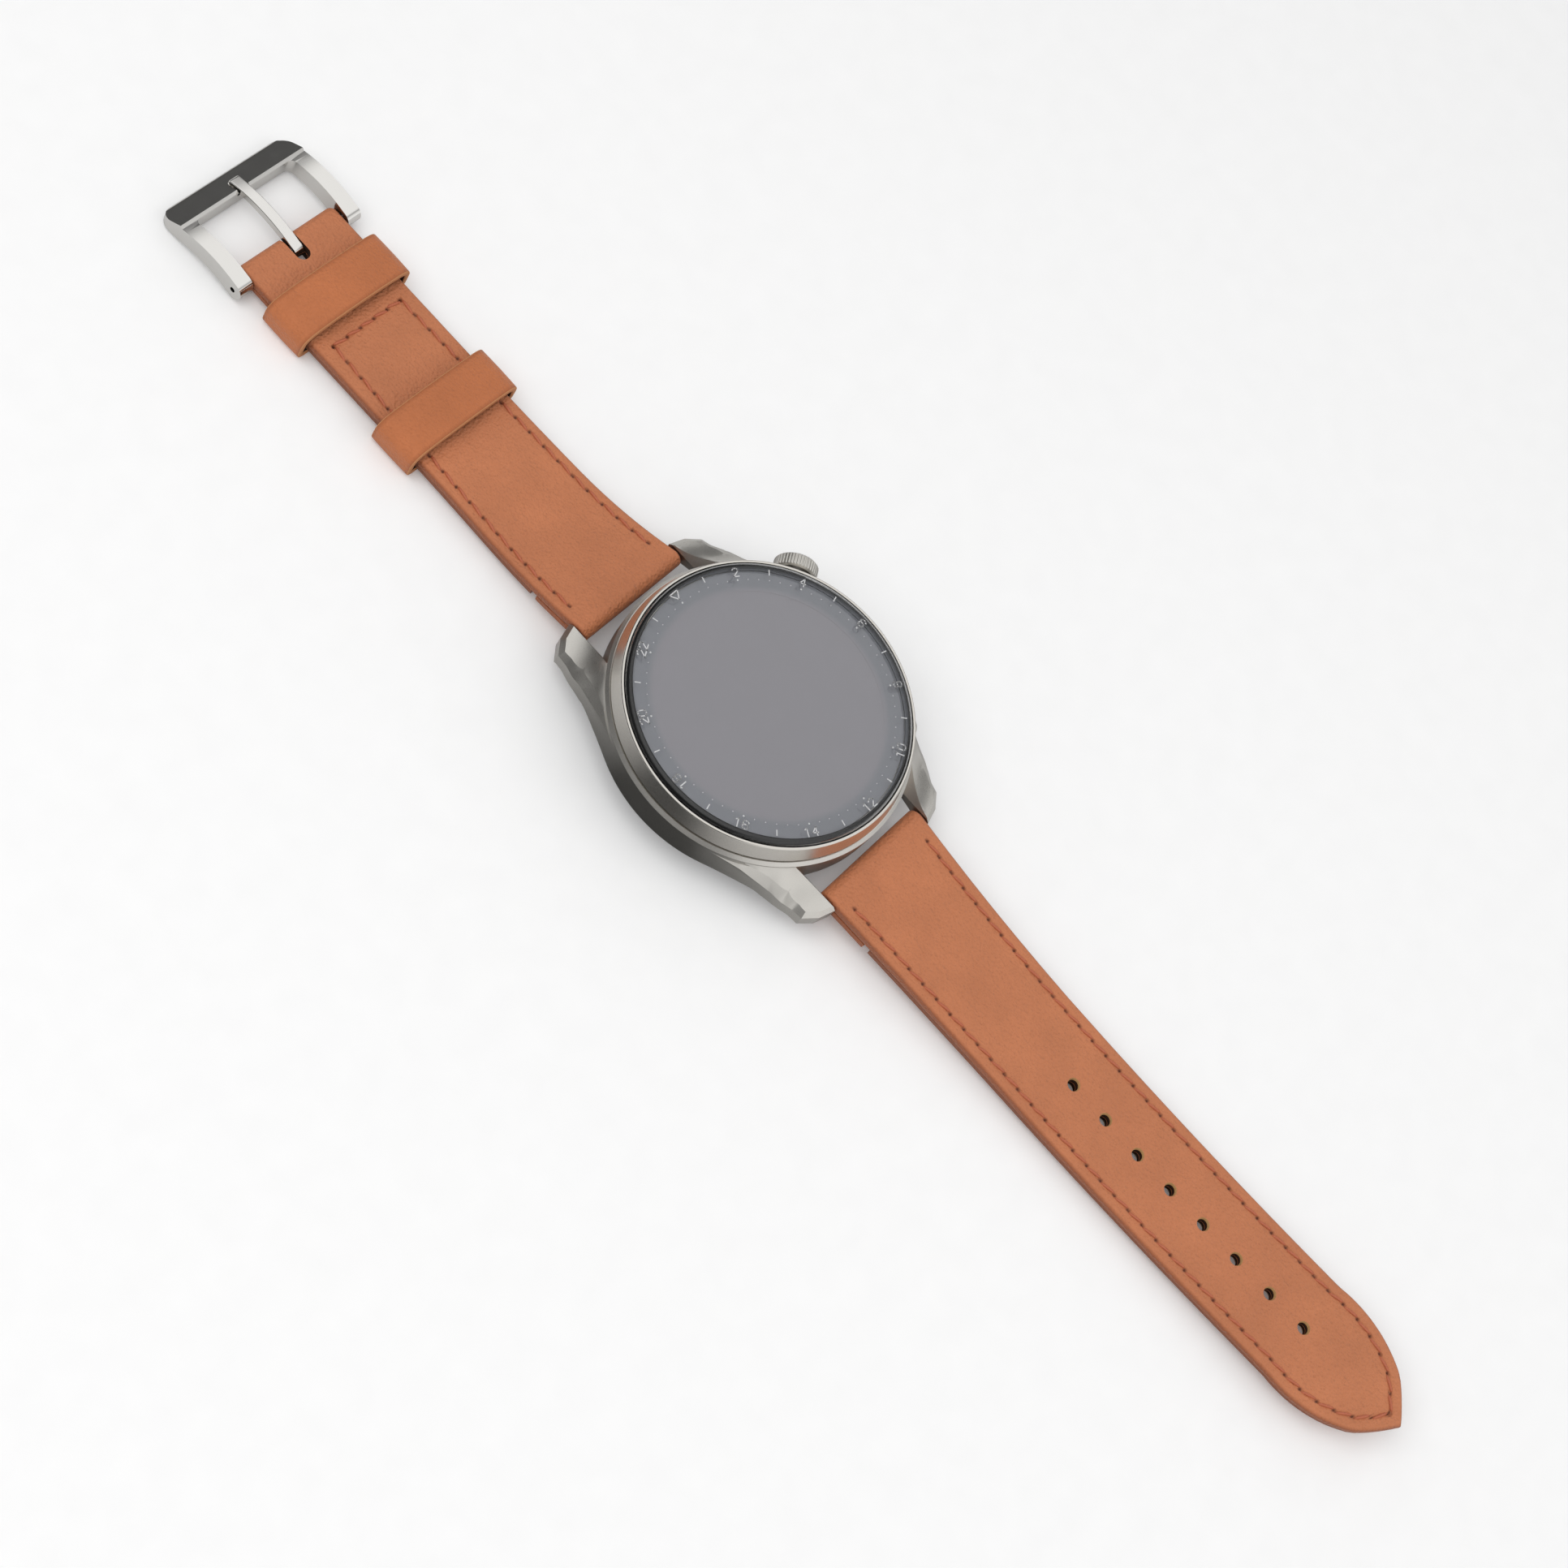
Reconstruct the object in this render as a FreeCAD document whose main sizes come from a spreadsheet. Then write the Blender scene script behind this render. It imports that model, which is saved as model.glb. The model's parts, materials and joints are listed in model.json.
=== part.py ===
import FreeCAD, Part

import math
import os

import Sketcher

# Round smartwatch with a 22 mm two-piece leather strap, laid open and face up.
# Frame: origin where the case axis meets the resting plane, +Z out of the glass,
# +Y to 12 o'clock and +X to 3 o'clock.

SIZES = {
    # case ring and lugs
    "case_radius": 24.1,
    "case_bore": 22.0,
    "case_bottom": 5.7,
    "case_top": 11.1,
    "case_bevel": 0.5,
    "lug_reach": 31.6,
    "lug_under": 3.15,
    "lug_gap": 22.0,
    "bar_y": 26.7,
    "bar_z": 5.05,
    "bar_hole": 0.45,
    "bar_hole_end": 12.4,
    # glass stack
    "bezel_foot": 23.5,
    "bezel_top": 14.25,
    "bezel_wall": 22.85,
    "glass_radius": 22.3,
    "glass_bottom": 13.9,
    "glass_top": 15.0,
    "glass_flat": 21.4,
    "display_radius": 18.4,
    # back
    "window_radius": 13.2,
    "window_flat": 9.0,
    "flange_radius": 23.7,
    "screw_circle": 22.75,
    "screw_radius": 0.5,
    "screw_head": 0.75,
    # boards and frame
    "frame_outer": 21.1,
    "frame_inner": 19.7,
    "board_radius": 19.2,
    "board_z": 9.6,
    "board_thick": 0.8,
    # crown and side button, both on radial axes 30 degrees from 3 o'clock
    "control_angle": 30.0,
    "control_z": 8.5,
    "crown_radius": 3.45,
    "crown_in": 24.95,
    "crown_out": 27.3,
    "shaft_radius": 1.0,
    "tube_radius": 1.6,
    "shaft_end": 18.2,
    "button_half": 4.5,
    "button_round": 1.3,
    "stem_radius": 0.7,
    "running_gap": 0.05,
    # leather strap
    "strap_half": 9.6,
    "strap_lug_half": 10.75,
    "wrap_bore": 0.8,
    "leather_edge": 0.15,
    "hole_first": 71.05,
    "hole_pitch": 6.95,
    "hole_radius": 0.9,
    "long_tip": 139.5,
    "short_end": 100.9,
    "short_top": 3.6,
    "short_bottom": 1.05,
    "slot_half": 1.2,
    "slot_y": 95.8,
    # keepers
    "keeper_half": 11.4,
    "keeper_wall": 1.0,
    "keeper_top": 6.1,
    "keeper_long": 7.9,
    "free_keeper_y": 61.3,
    "fixed_keeper_y": 85.1,
    # spring bars
    "bar_radius": 0.75,
    "bar_inner": 0.5,
    "bar_half": 10.4,
    "tip_radius": 0.4,
    "tip_end": 12.2,
    "shank_radius": 0.45,
    # buckle
    "buckle_y": 98.6,
    "buckle_z": 2.33,
    "buckle_half": 12.45,
    "window_half": 9.85,
    "window_end": 109.9,
    "buckle_end": 114.6,
    "tongue_half": 0.9,
}

HOLES = 8
KNURLS = 44
ENCODER_TEETH = 20
SPRING_TURNS = 11
QUADRANTS = ((1, 1), (-1, 1), (-1, -1), (1, -1))

doc = FreeCAD.newDocument("smartwatch")
sheet = doc.addObject("Spreadsheet::Sheet", "dims")
parts = []


class Size:
    """A number that also carries the sheet expression it comes from."""

    def __init__(self, number, text):
        self.number = float(number)
        self.text = text

    def __add__(self, other):
        other = as_size(other)
        return Size(self.number + other.number, f"({self.text} + {other.text})")

    def __sub__(self, other):
        other = as_size(other)
        return Size(self.number - other.number, f"({self.text} - {other.text})")

    def __mul__(self, factor):
        return Size(self.number * factor, f"({self.text} * {factor})")

    def __neg__(self):
        return Size(-self.number, f"(0 - {self.text})")


def as_size(value):
    return value if isinstance(value, Size) else Size(value, f"({value})")


def dim(alias):
    return Size(SIZES[alias], f"dims.{alias}")


def bind(item, prop, value):
    """Drive one property of an object from the sheet."""
    item.setExpression(prop, as_size(value).text)


def fill_sheet():
    for row, (alias, value) in enumerate(SIZES.items(), start=1):
        sheet.set(f"A{row}", alias)
        sheet.set(f"B{row}", str(value))
        sheet.setAlias(f"B{row}", alias)
    doc.recompute()


# ---------------------------------------------------------------- sketches


class Via:
    """A point that an arc passes through on its way to the next corner."""

    def __init__(self, across, up):
        self.across = as_size(across).number
        self.up = as_size(up).number


class Circle:
    """A full circle in a sketch."""

    def __init__(self, across, up, radius):
        self.across = as_size(across)
        self.up = as_size(up)
        self.radius = as_size(radius)


def flat(across, up):
    return FreeCAD.Vector(across, up, 0)


def pin_point(sketch, item, end, across, up):
    """Hold one point of a sketch item at sheet-driven coordinates."""
    for kind, axis, value in (("DistanceX", -2, across), ("DistanceY", -1, up)):
        if abs(value.number) < 1e-9:
            sketch.addConstraint(Sketcher.Constraint("PointOnObject", item, end, axis))
            continue
        index = sketch.addConstraint(Sketcher.Constraint(kind, -1, 1, item, end, value.number))
        bind(sketch, f"Constraints[{index}]", value)


def draw_circle(sketch, circle):
    centre = flat(circle.across.number, circle.up.number)
    item = sketch.addGeometry(Part.Circle(centre, FreeCAD.Vector(0, 0, 1), circle.radius.number), False)
    pin_point(sketch, item, 3, circle.across, circle.up)
    index = sketch.addConstraint(Sketcher.Constraint("Radius", item, circle.radius.number))
    bind(sketch, f"Constraints[{index}]", circle.radius)


def draw_loop(sketch, path):
    """Draw a closed loop of lines and arcs through the corners of path."""
    corners = []
    vias = {}
    for step in path:
        if isinstance(step, Via):
            vias[len(corners) - 1] = step
        else:
            corners.append((as_size(step[0]), as_size(step[1])))
    items = []
    for index, (across, up) in enumerate(corners):
        start = flat(across.number, up.number)
        after = corners[(index + 1) % len(corners)]
        end = flat(after[0].number, after[1].number)
        if index in vias:
            middle = flat(vias[index].across, vias[index].up)
            edge = Part.Arc(start, middle, end)
        else:
            edge = Part.LineSegment(start, end)
        items.append(sketch.addGeometry(edge, False))
    ends = [loop_ends(sketch, item, corner) for item, corner in zip(items, corners)]
    for index, item in enumerate(items):
        follower = (index + 1) % len(items)
        link = Sketcher.Constraint("Coincident", item, ends[index][1], items[follower], ends[follower][0])
        sketch.addConstraint(link)
        pin_point(sketch, item, ends[index][0], *corners[index])


def loop_ends(sketch, item, corner):
    """Which end of a sketch item starts at the corner: arcs are stored anticlockwise."""
    start = sketch.getPoint(item, 1)
    away = math.hypot(start.x - corner[0].number, start.y - corner[1].number)
    return (1, 2) if away < 1e-6 else (2, 1)


def add_sketch(body, role, name, *loops):
    sketch = body.newObject("Sketcher::SketchObject", name)
    plane = next(item for item in body.Origin.OriginFeatures if item.Role == role)
    sketch.AttachmentSupport = [(plane, "")]
    sketch.MapMode = "FlatFace"
    for loop in loops:
        if isinstance(loop, Circle):
            draw_circle(sketch, loop)
        else:
            draw_loop(sketch, loop)
    return sketch


# ---------------------------------------------------------------- features


def new_body(label):
    body = doc.addObject("PartDesign::Body", label)
    body.Label = label
    parts.append(body)
    return body


def last_volume(body):
    return body.Tip.Shape.Volume if body.Tip and not body.Tip.Shape.isNull() else 0.0


def feature(body, kind, name, sketch, **values):
    """Add one PartDesign feature and make sure that it changes the volume the way it should."""
    before = last_volume(body)
    item = body.newObject(kind, name)
    if sketch is not None:
        item.Profile = sketch
        sketch.Visibility = False
    for prop, value in values.items():
        if isinstance(value, Size):
            bind(item, prop, value)
        else:
            setattr(item, prop, value)
    doc.recompute()
    after = last_volume(body)
    grows = kind.split("::")[1] in ("Pad", "Revolution", "AdditiveHelix")
    if after <= before if grows else after >= before:
        raise RuntimeError(f"{body.Label}: {name} changed the volume from {before:.3f} to {after:.3f}")
    return item


def revolve(body, name, *loops, axis="V_Axis"):
    """Turn a profile about the case axis: distance from the axis, then height."""
    sketch = add_sketch(body, "XZ_Plane", name + "_sketch", *loops)
    return feature(body, "PartDesign::Revolution", name, sketch, ReferenceAxis=(sketch, [axis]), Angle=360)


def spin(body, name, *loops):
    """Turn a profile about the body's own X axis: distance along the axis, then radius."""
    return revolve(body, name, *loops, axis="H_Axis")


def pad(body, role, name, length, *loops, **more):
    sketch = add_sketch(body, role, name + "_sketch", *loops)
    return feature(body, "PartDesign::Pad", name, sketch, Length=as_size(length), **more)


def pad_both(body, role, name, length, *loops):
    return pad(body, role, name, length, *loops, SideType="Symmetric")


def cut_through(body, role, name, *loops):
    sketch = add_sketch(body, role, name + "_sketch", *loops)
    return feature(body, "PartDesign::Pocket", name, sketch, Type="ThroughAll", SideType="Symmetric")


def cut_one_way(body, role, name, *loops, reverse=False):
    sketch = add_sketch(body, role, name + "_sketch", *loops)
    return feature(body, "PartDesign::Pocket", name, sketch, Type="ThroughAll", Reversed=reverse)


def mirror(body, name, original, role):
    item = body.newObject("PartDesign::Mirrored", name)
    item.Originals = [original]
    plane = next(item for item in body.Origin.OriginFeatures if item.Role == role)
    item.MirrorPlane = (plane, [""])
    body.Tip = item
    doc.recompute()
    return item


def mirror_twice(body, name, original):
    """Repeat a feature in all four quadrants."""
    item = body.newObject("PartDesign::MultiTransform", name)
    item.Originals = [original]
    steps = []
    for role in ("YZ_Plane", "XZ_Plane"):
        step = body.newObject("PartDesign::Mirrored", f"{name}_{role}")
        plane = next(thing for thing in body.Origin.OriginFeatures if thing.Role == role)
        step.MirrorPlane = (plane, [""])
        steps.append(step)
    item.Transformations = steps
    body.Tip = item
    doc.recompute()


def row_of(body, name, original, role, count, pitch):
    item = body.newObject("PartDesign::LinearPattern", name)
    item.Originals = [original]
    axis = next(item for item in body.Origin.OriginFeatures if item.Role == role)
    item.Direction = (axis, [""])
    item.Mode = "Spacing"
    item.Occurrences = count
    bind(item, "Offset", pitch)
    body.Tip = item
    doc.recompute()
    return item


def ring_of(body, name, original, role, count):
    item = body.newObject("PartDesign::PolarPattern", name)
    item.Originals = [original]
    axis = next(item for item in body.Origin.OriginFeatures if item.Role == role)
    item.Axis = (axis, [""])
    item.Occurrences = count
    item.Angle = 360
    body.Tip = item
    doc.recompute()
    return item


def soften(body, name, kind, size, wanted):
    """Fillet or chamfer the edges of the body that the test accepts."""
    solid = body.Tip
    names = [f"Edge{number}" for number, edge in enumerate(solid.Shape.Edges, start=1) if wanted(edge)]
    if not names:
        raise RuntimeError(f"{body.Label}: {name} found no edge")
    prop = "Radius" if kind == "Fillet" else "Size"
    item = body.newObject(f"PartDesign::{kind}", name)
    item.Base = (solid, names)
    bind(item, prop, size)
    doc.recompute()
    return item


# ---------------------------------------------------------------- simple pieces


def place(item, across=0, along=0, up=0, turn=0.0):
    """Put a piece in the watch frame, turned about the vertical."""
    rotation = FreeCAD.Rotation(FreeCAD.Vector(0, 0, 1), turn)
    item.Placement = FreeCAD.Placement(FreeCAD.Vector(0, 0, 0), rotation)
    for axis, value in (("x", across), ("y", along), ("z", up)):
        bind(item, f"Placement.Base.{axis}", value)
    return item


def box(name, wide, deep, tall, at):
    """A block centred on at in plan, standing on its height."""
    item = doc.addObject("Part::Box", name)
    for prop, value in (("Length", wide), ("Width", deep), ("Height", tall)):
        bind(item, prop, value)
    across = as_size(at[0]) - as_size(wide) * 0.5
    along = as_size(at[1]) - as_size(deep) * 0.5
    return place(item, across, along, at[2])


def cylinder(name, radius, tall, at):
    item = doc.addObject("Part::Cylinder", name)
    bind(item, "Radius", radius)
    bind(item, "Height", tall)
    return place(item, *at)


def finished(item, label):
    item.Label = label
    parts.append(item)
    return item


def fuse(name, *shapes):
    item = doc.addObject("Part::MultiFuse", name)
    item.Shapes = list(shapes)
    return item


def group(name, *shapes):
    item = doc.addObject("Part::Compound", name)
    item.Links = list(shapes)
    return item


def hoop(label, inner, outer, bottom, top):
    """A plain flat ring about the case axis."""
    section = [(inner, bottom), (outer, bottom), (outer, top), (inner, top)]
    return revolve(new_body(label), label + "_turned", section)


# ---------------------------------------------------------------- radial features


def radial_sketch(body, name, angle, distance, *loops):
    """A sketch across a radial axis: tangent to the case, then height."""
    sketch = add_sketch(body, "YZ_Plane", name, *loops)
    turn = FreeCAD.Rotation(FreeCAD.Vector(0, 1, 0), angle)
    sketch.AttachmentOffset = FreeCAD.Placement(turn.multVec(FreeCAD.Vector(0, 0, distance)), turn)
    return sketch


def radial_cut(body, name, angle, distance, loop):
    """Cut outwards along a radial axis from a distance off the case axis."""
    sketch = radial_sketch(body, name + "_sketch", angle, distance, loop)
    return feature(body, "PartDesign::Pocket", name, sketch, Type="ThroughAll", Reversed=True)


def radial_turned(label, angle, *loops):
    """A turned piece on a radial axis of the case at the controls' height."""
    body = new_body(label)
    spin(body, label + "_turned", *loops)
    return place(body, 0, 0, dim("control_z"), angle)


def stadium(height, half, rounded):
    """A slot outline: straight sides joined by half circles."""
    return [
        (-half, height - rounded),
        (half, height - rounded),
        Via(half + rounded, height),
        (half, height + rounded),
        (-half, height + rounded),
        Via(-half - rounded, height),
    ]


# ---------------------------------------------------------------- case


def flip(path):
    """The same outline mirrored to negative heights, in reverse order."""
    mirrored = []
    for step in reversed(path):
        if isinstance(step, Via):
            mirrored.append(Via(step.across, -step.up))
        else:
            mirrored.append((step[0], -as_size(step[1])))
    return mirrored


def lug_flank():
    """Outline to cut away outside the right-hand flanks, from one lug end to the other."""
    radius = dim("case_radius")
    leave = math.radians(24.5)
    upper = [
        (radius * round(math.cos(leave), 5), radius * round(math.sin(leave), 5)),
        (17.6, 19.4),
        Via(16.35, 22.2),
        (15.95, 24.3),
        (15.9, 25.9),
        (13.7, 27.6),
        (11.0, 28.4),
        (9.0, 28.4),
    ]
    outside = [(9.0, 33.0), (33.0, 33.0), (33.0, -33.0), (9.0, -33.0)]
    return upper + outside + flip(upper) + [Via(radius, 0)]


def lug_top(out):
    """Height of the lugs' hollow top at a distance from the case axis."""
    arc = Part.Arc(flat(31.6, 6.3), flat(26.2, 8.15), flat(22.6, 13.75)).toShape().Curve
    return arc.Center.y - math.sqrt(arc.Radius ** 2 - (arc.Center.x - out) ** 2)


def bevel_station(body, index, spot, heading, size):
    """One triangular section of the flank bevel: outwards from the flank, then up."""
    height = lug_top(math.hypot(*spot))
    angle = math.radians(heading)
    outward = FreeCAD.Vector(math.cos(angle), math.sin(angle), 0)
    up = FreeCAD.Vector(0, 0, 1)
    upper = (-1.6 * size, 0.75 * size)
    lower = (0.6 * size, -1.45 * size)
    sketch = add_sketch(body, "XY_Plane", f"bevel_station_{index}", [upper, lower, (2.2, 2.6)])
    turn = FreeCAD.Rotation(outward, up, outward.cross(up), "XYZ")
    sketch.AttachmentOffset = FreeCAD.Placement(FreeCAD.Vector(spot[0], spot[1], height), turn)
    return sketch


def flank_bevel(body):
    """Bevel along the top of one flank, repeated on all four lugs."""
    stations = [
        ((21.93, 9.99), 24.5, 0.3),
        ((19.77, 14.69), 24.5, 0.6),
        ((17.6, 19.4), 23.0, 0.8),
        ((16.35, 22.2), 17.0, 0.85),
        ((15.95, 24.3), 5.0, 0.85),
        ((15.9, 25.9), 20.0, 0.85),
        ((13.7, 27.6), 62.0, 0.7),
        ((10.6, 28.5), 72.0, 0.6),
    ]
    sections = [bevel_station(body, index, *values) for index, values in enumerate(stations)]
    loft = body.newObject("PartDesign::SubtractiveLoft", "flank_bevel")
    loft.Profile = sections[0]
    loft.Sections = sections[1:]
    loft.Ruled = True
    doc.recompute()
    mirror_twice(body, "flank_bevels", loft)


def middle_case():
    """Case ring with four angular lugs, spring-bar holes, crown bore, button slot and ports."""
    body = new_body("middle_case")
    radius = dim("case_radius")
    bottom = dim("case_bottom")
    top = dim("case_top")
    bevel = dim("case_bevel")
    reach = dim("lug_reach")
    half_gap = dim("lug_gap") * 0.5
    revolve(body, "lug_disc", [
        (21.0, bottom),
        (24.0, bottom),
        (reach, dim("lug_under")),
        (reach, 6.3),
        Via(26.2, 8.15),
        (22.6, 13.75),
        (21.0, 13.75),
    ])
    flank = cut_through(body, "XY_Plane", "flank", lug_flank())
    mirror(body, "flank_left", flank, "YZ_Plane")
    opening = [(half_gap, 20.0), (half_gap, 33.0), (-half_gap, 33.0), (-half_gap, 20.0)]
    gap = cut_through(body, "XY_Plane", "strap_gap", opening)
    mirror(body, "strap_gap_below", gap, "XZ_Plane")
    facet = [(half_gap, 6.34), (16.5, 15.2), (half_gap, 15.2)]
    facet_left = [(-half_gap, 6.34), (-half_gap, 15.2), (-16.5, 15.2)]
    cut_through(body, "XZ_Plane", "inner_facets", facet, facet_left)
    flank_bevel(body)
    cut_through(body, "XY_Plane", "ring_seat", Circle(0, 0, radius - 0.15))
    revolve(body, "case_ring", [
        (dim("case_bore"), bottom),
        (radius - 0.3, bottom),
        (radius, bottom + 0.3),
        (radius, top - bevel),
        (radius - bevel, top),
        (dim("case_bore"), top),
    ])
    for side, name in ((1, "upper"), (-1, "lower")):
        circle = Circle(dim("bar_y") * side, dim("bar_z"), dim("bar_hole"))
        sketch = add_sketch(body, "YZ_Plane", f"bar_holes_{name}_sketch", circle)
        length = dim("bar_hole_end") * 2
        kind = "PartDesign::Pocket"
        feature(body, kind, f"bar_holes_{name}", sketch, Length=length, SideType="Symmetric")
    height = dim("control_z")
    angle = SIZES["control_angle"]
    radial_cut(body, "crown_bore", angle, 20.0, Circle(0, height, dim("tube_radius")))
    gap = dim("running_gap")
    radial_cut(body, "stem_hole", -angle, 20.0, Circle(0, height, dim("stem_radius") + gap))
    slot = stadium(height, dim("button_half"), dim("button_round") + gap)
    radial_cut(body, "button_slot", -angle, 22.6, slot)
    radial_cut(body, "microphone_port", 8.0, 20.0, Circle(0, height, 0.4))
    radial_cut(body, "speaker_port", -8.0, 20.0, stadium(height, as_size(1.3), as_size(0.35)))
    hole = add_sketch(body, "XY_Plane", "screw_hole_sketch", Circle(*screw_spot(), dim("screw_radius")))
    drilled = feature(body, "PartDesign::Pocket", "screw_hole", hole, Length=bottom + 3.0, Reversed=True)
    mirror_twice(body, "screw_holes", drilled)


def screw_spot():
    """The back screw between 12 and 3 o'clock, clear of the crown and button."""
    angle = math.radians(52)
    circle = dim("screw_circle")
    return circle * round(math.cos(angle), 6), circle * round(math.sin(angle), 6)


def bezel_ring():
    """Ring that holds the glass: skirt in the case bore, flared satin wall and narrow polished rim."""
    body = new_body("bezel_ring")
    top = dim("bezel_top")
    wall = dim("bezel_wall")
    foot = dim("bezel_foot")
    case_top = dim("case_top")
    bore = dim("case_bore") - dim("running_gap")
    seat = dim("glass_bottom") - 0.3
    inner = dim("glass_radius") + 0.06
    revolve(body, "bezel_turned", [
        (21.2, case_top - 0.9),
        (bore, case_top - 0.9),
        (bore, case_top),
        (foot - 0.3, case_top),
        (foot - 0.3, case_top + 0.25),
        (foot, case_top + 0.35),
        (wall, top - 0.12),
        (wall - 0.12, top),
        (inner + 0.1, top),
        (inner, top - 0.15),
        (inner, seat),
        (21.2, seat),
    ])


def cover_glass():
    """Round glass with a sloping polished edge."""
    radius = dim("glass_radius")
    top = dim("glass_top")
    body = new_body("cover_glass")
    revolve(body, "glass_turned", [
        (0, dim("glass_bottom")),
        (radius, dim("glass_bottom")),
        (radius, top - 0.85),
        Via(radius - 0.3, top - 0.3),
        (dim("glass_flat"), top),
        (0, top),
    ])


def display_stack():
    """Gasket, printed scale ring, display, antenna ring and the display's folded flex."""
    under = dim("glass_bottom")
    hoop("front_gasket", 21.3, dim("glass_radius"), under - 0.28, under - 0.02)
    hoop("scale_ring", dim("display_radius") + 0.1, 21.15, under - 0.5, under - 0.05)
    body = new_body("display_panel")
    radius = dim("display_radius")
    back = under - 1.1
    front = under - 0.1
    revolve(body, "display_turned", [(0, back), (radius, back), (radius, front), (0, front)])
    hoop("antenna_ring", 18.7, 20.9, under - 1.15, under - 0.65)
    antenna = parts[-1]
    cut_one_way(antenna, "XZ_Plane", "antenna_gap", [(-1.0, 12.0), (1.0, 12.0), (1.0, 14.0), (-1.0, 14.0)])
    flex = new_body("display_flex")
    board_top = dim("board_z") + dim("board_thick")
    film = 0.15
    bend = Via(-15.3, 11.6)
    pad_both(flex, "YZ_Plane", "flex_fold", 7.0, [
        (-9.0, back),
        (-9.0, back - film),
        (-14.4, back - film),
        Via(-15.15, 11.6),
        (-14.4, board_top + film),
        (-11.0, board_top + film),
        (-11.0, board_top),
        (-14.4, board_top),
        bend,
        (-14.4, back),
    ])


def inner_frame():
    """Plastic carrier that holds the display and the main board, open beside the crown and button."""
    body = new_body("inner_frame")
    outer = dim("frame_outer")
    inner = dim("frame_inner")
    top = dim("glass_bottom") - 1.2
    shelf = dim("board_z") - 0.05
    revolve(body, "frame_ring", [
        (inner + 0.3, 7.3),
        (outer, 7.3),
        (outer, top),
        (18.5, top),
        (18.5, top - 0.6),
        (inner, top - 0.6),
        (inner, shelf),
        (18.0, shelf),
        (18.0, shelf - 0.65),
        (inner + 0.3, shelf - 0.65),
    ])
    pocket = [(13.5, 5.0), (25.0, 5.0), (25.0, 11.65), (13.5, 11.65)]
    cut_through(body, "XZ_Plane", "control_window", pocket)
    hole = cut_through(body, "XY_Plane", "screw_hole", Circle(*board_screw_spot(), 0.4))
    mirror_twice(body, "screw_holes", hole)


def board_screw_spot():
    """One board screw: radius 18.6, 60 degrees from 3 o'clock."""
    return as_size(9.3), as_size(16.11)


def main_board():
    """Round circuit board with a flat side towards the crown and button."""
    body = new_body("main_board")
    radius = dim("board_radius")
    low = dim("board_z")
    high = low + dim("board_thick")
    revolve(body, "board_disc", [(0, low), (radius, low), (radius, high), (0, high)])
    cut_through(body, "XY_Plane", "board_flat", [(11.8, -20.0), (20.0, -20.0), (20.0, 20.0), (11.8, 20.0)])
    hole = cut_through(body, "XY_Plane", "screw_hole", Circle(*board_screw_spot(), 0.45))
    mirror_twice(body, "screw_holes", hole)


def board_pieces():
    """Everything that stands on or hangs beside the main board."""
    top = dim("board_z") + dim("board_thick")
    cans = [
        box("processor_can", 11.0, 9.0, 1.0, (-8.0, 5.0, top)),
        box("radio_can", 9.0, 7.0, 1.0, (5.0, 7.0, top)),
        box("power_can", 8.0, 6.0, 1.0, (6.0, -4.0, top)),
    ]
    finished(group("can_group", *cans), "board_shields")
    finished(box("battery_cell", 24.0, 18.6, 4.7, (-1.3, 2.4, 4.4)), "battery")
    finished(box("motor_block", 9.0, 4.5, 3.2, (-6.0, -13.2, 4.6)), "vibration_motor")
    finished(box("speaker_block", 7.2, 7.0, 3.4, (15.7, -2.4, 5.4)), "speaker")
    finished(box("microphone_block", 1.4, 2.4, 2.0, (20.0, 3.4, 7.5)), "microphone")
    finished(box("barometer_can", 2.0, 2.0, 0.9, (-16.0, 0.0, dim("board_z") - 0.9)), "barometer")
    across, along = (size.number for size in board_screw_spot())
    screws = []
    for index, (side, end) in enumerate(QUADRANTS):
        spot = (across * side, along * end)
        low = dim("board_z") - 0.65
        shank = cylinder(f"board_shank_{index}", 0.4, top - low, (*spot, low))
        head = cylinder(f"board_head_{index}", 0.75, 0.4, (*spot, top))
        screws.append(fuse(f"board_screw_{index}", shank, head))
    finished(group("board_screw_group", *screws), "frame_screws")


def back_cover():
    """Domed back with a flange under the case, four counterbored screw holes and the window seat."""
    body = new_body("back_cover")
    flange = dim("flange_radius")
    under = dim("case_bottom") - 0.05
    window = dim("window_radius") + 0.05
    revolve(body, "back_turned", [
        (12.3, 1.9),
        (12.3, 3.0),
        (19.3, 3.0),
        (20.4, 4.6),
        (20.4, 6.3),
        (21.5, 6.3),
        (21.5, under),
        (flange, under),
        (flange, under - 0.65),
        (flange - 0.3, under - 0.85),
        Via(21.6, 3.7),
        (19.2, 2.4),
        Via(16.2, 1.65),
        (window, 1.35),
        (window, 1.9),
    ])
    clear = dim("screw_radius") + 0.05
    hole = cut_through(body, "XY_Plane", "screw_hole", Circle(*screw_spot(), clear))
    mirror_twice(body, "screw_holes", hole)
    recess = Circle(*screw_spot(), dim("screw_head") + 0.1)
    sketch = add_sketch(body, "XY_Plane", "screw_seat_sketch", recess)
    seat = feature(body, "PartDesign::Pocket", "screw_seat", sketch, Length=under - 0.35, Reversed=True)
    mirror_twice(body, "screw_seats", seat)


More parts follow.
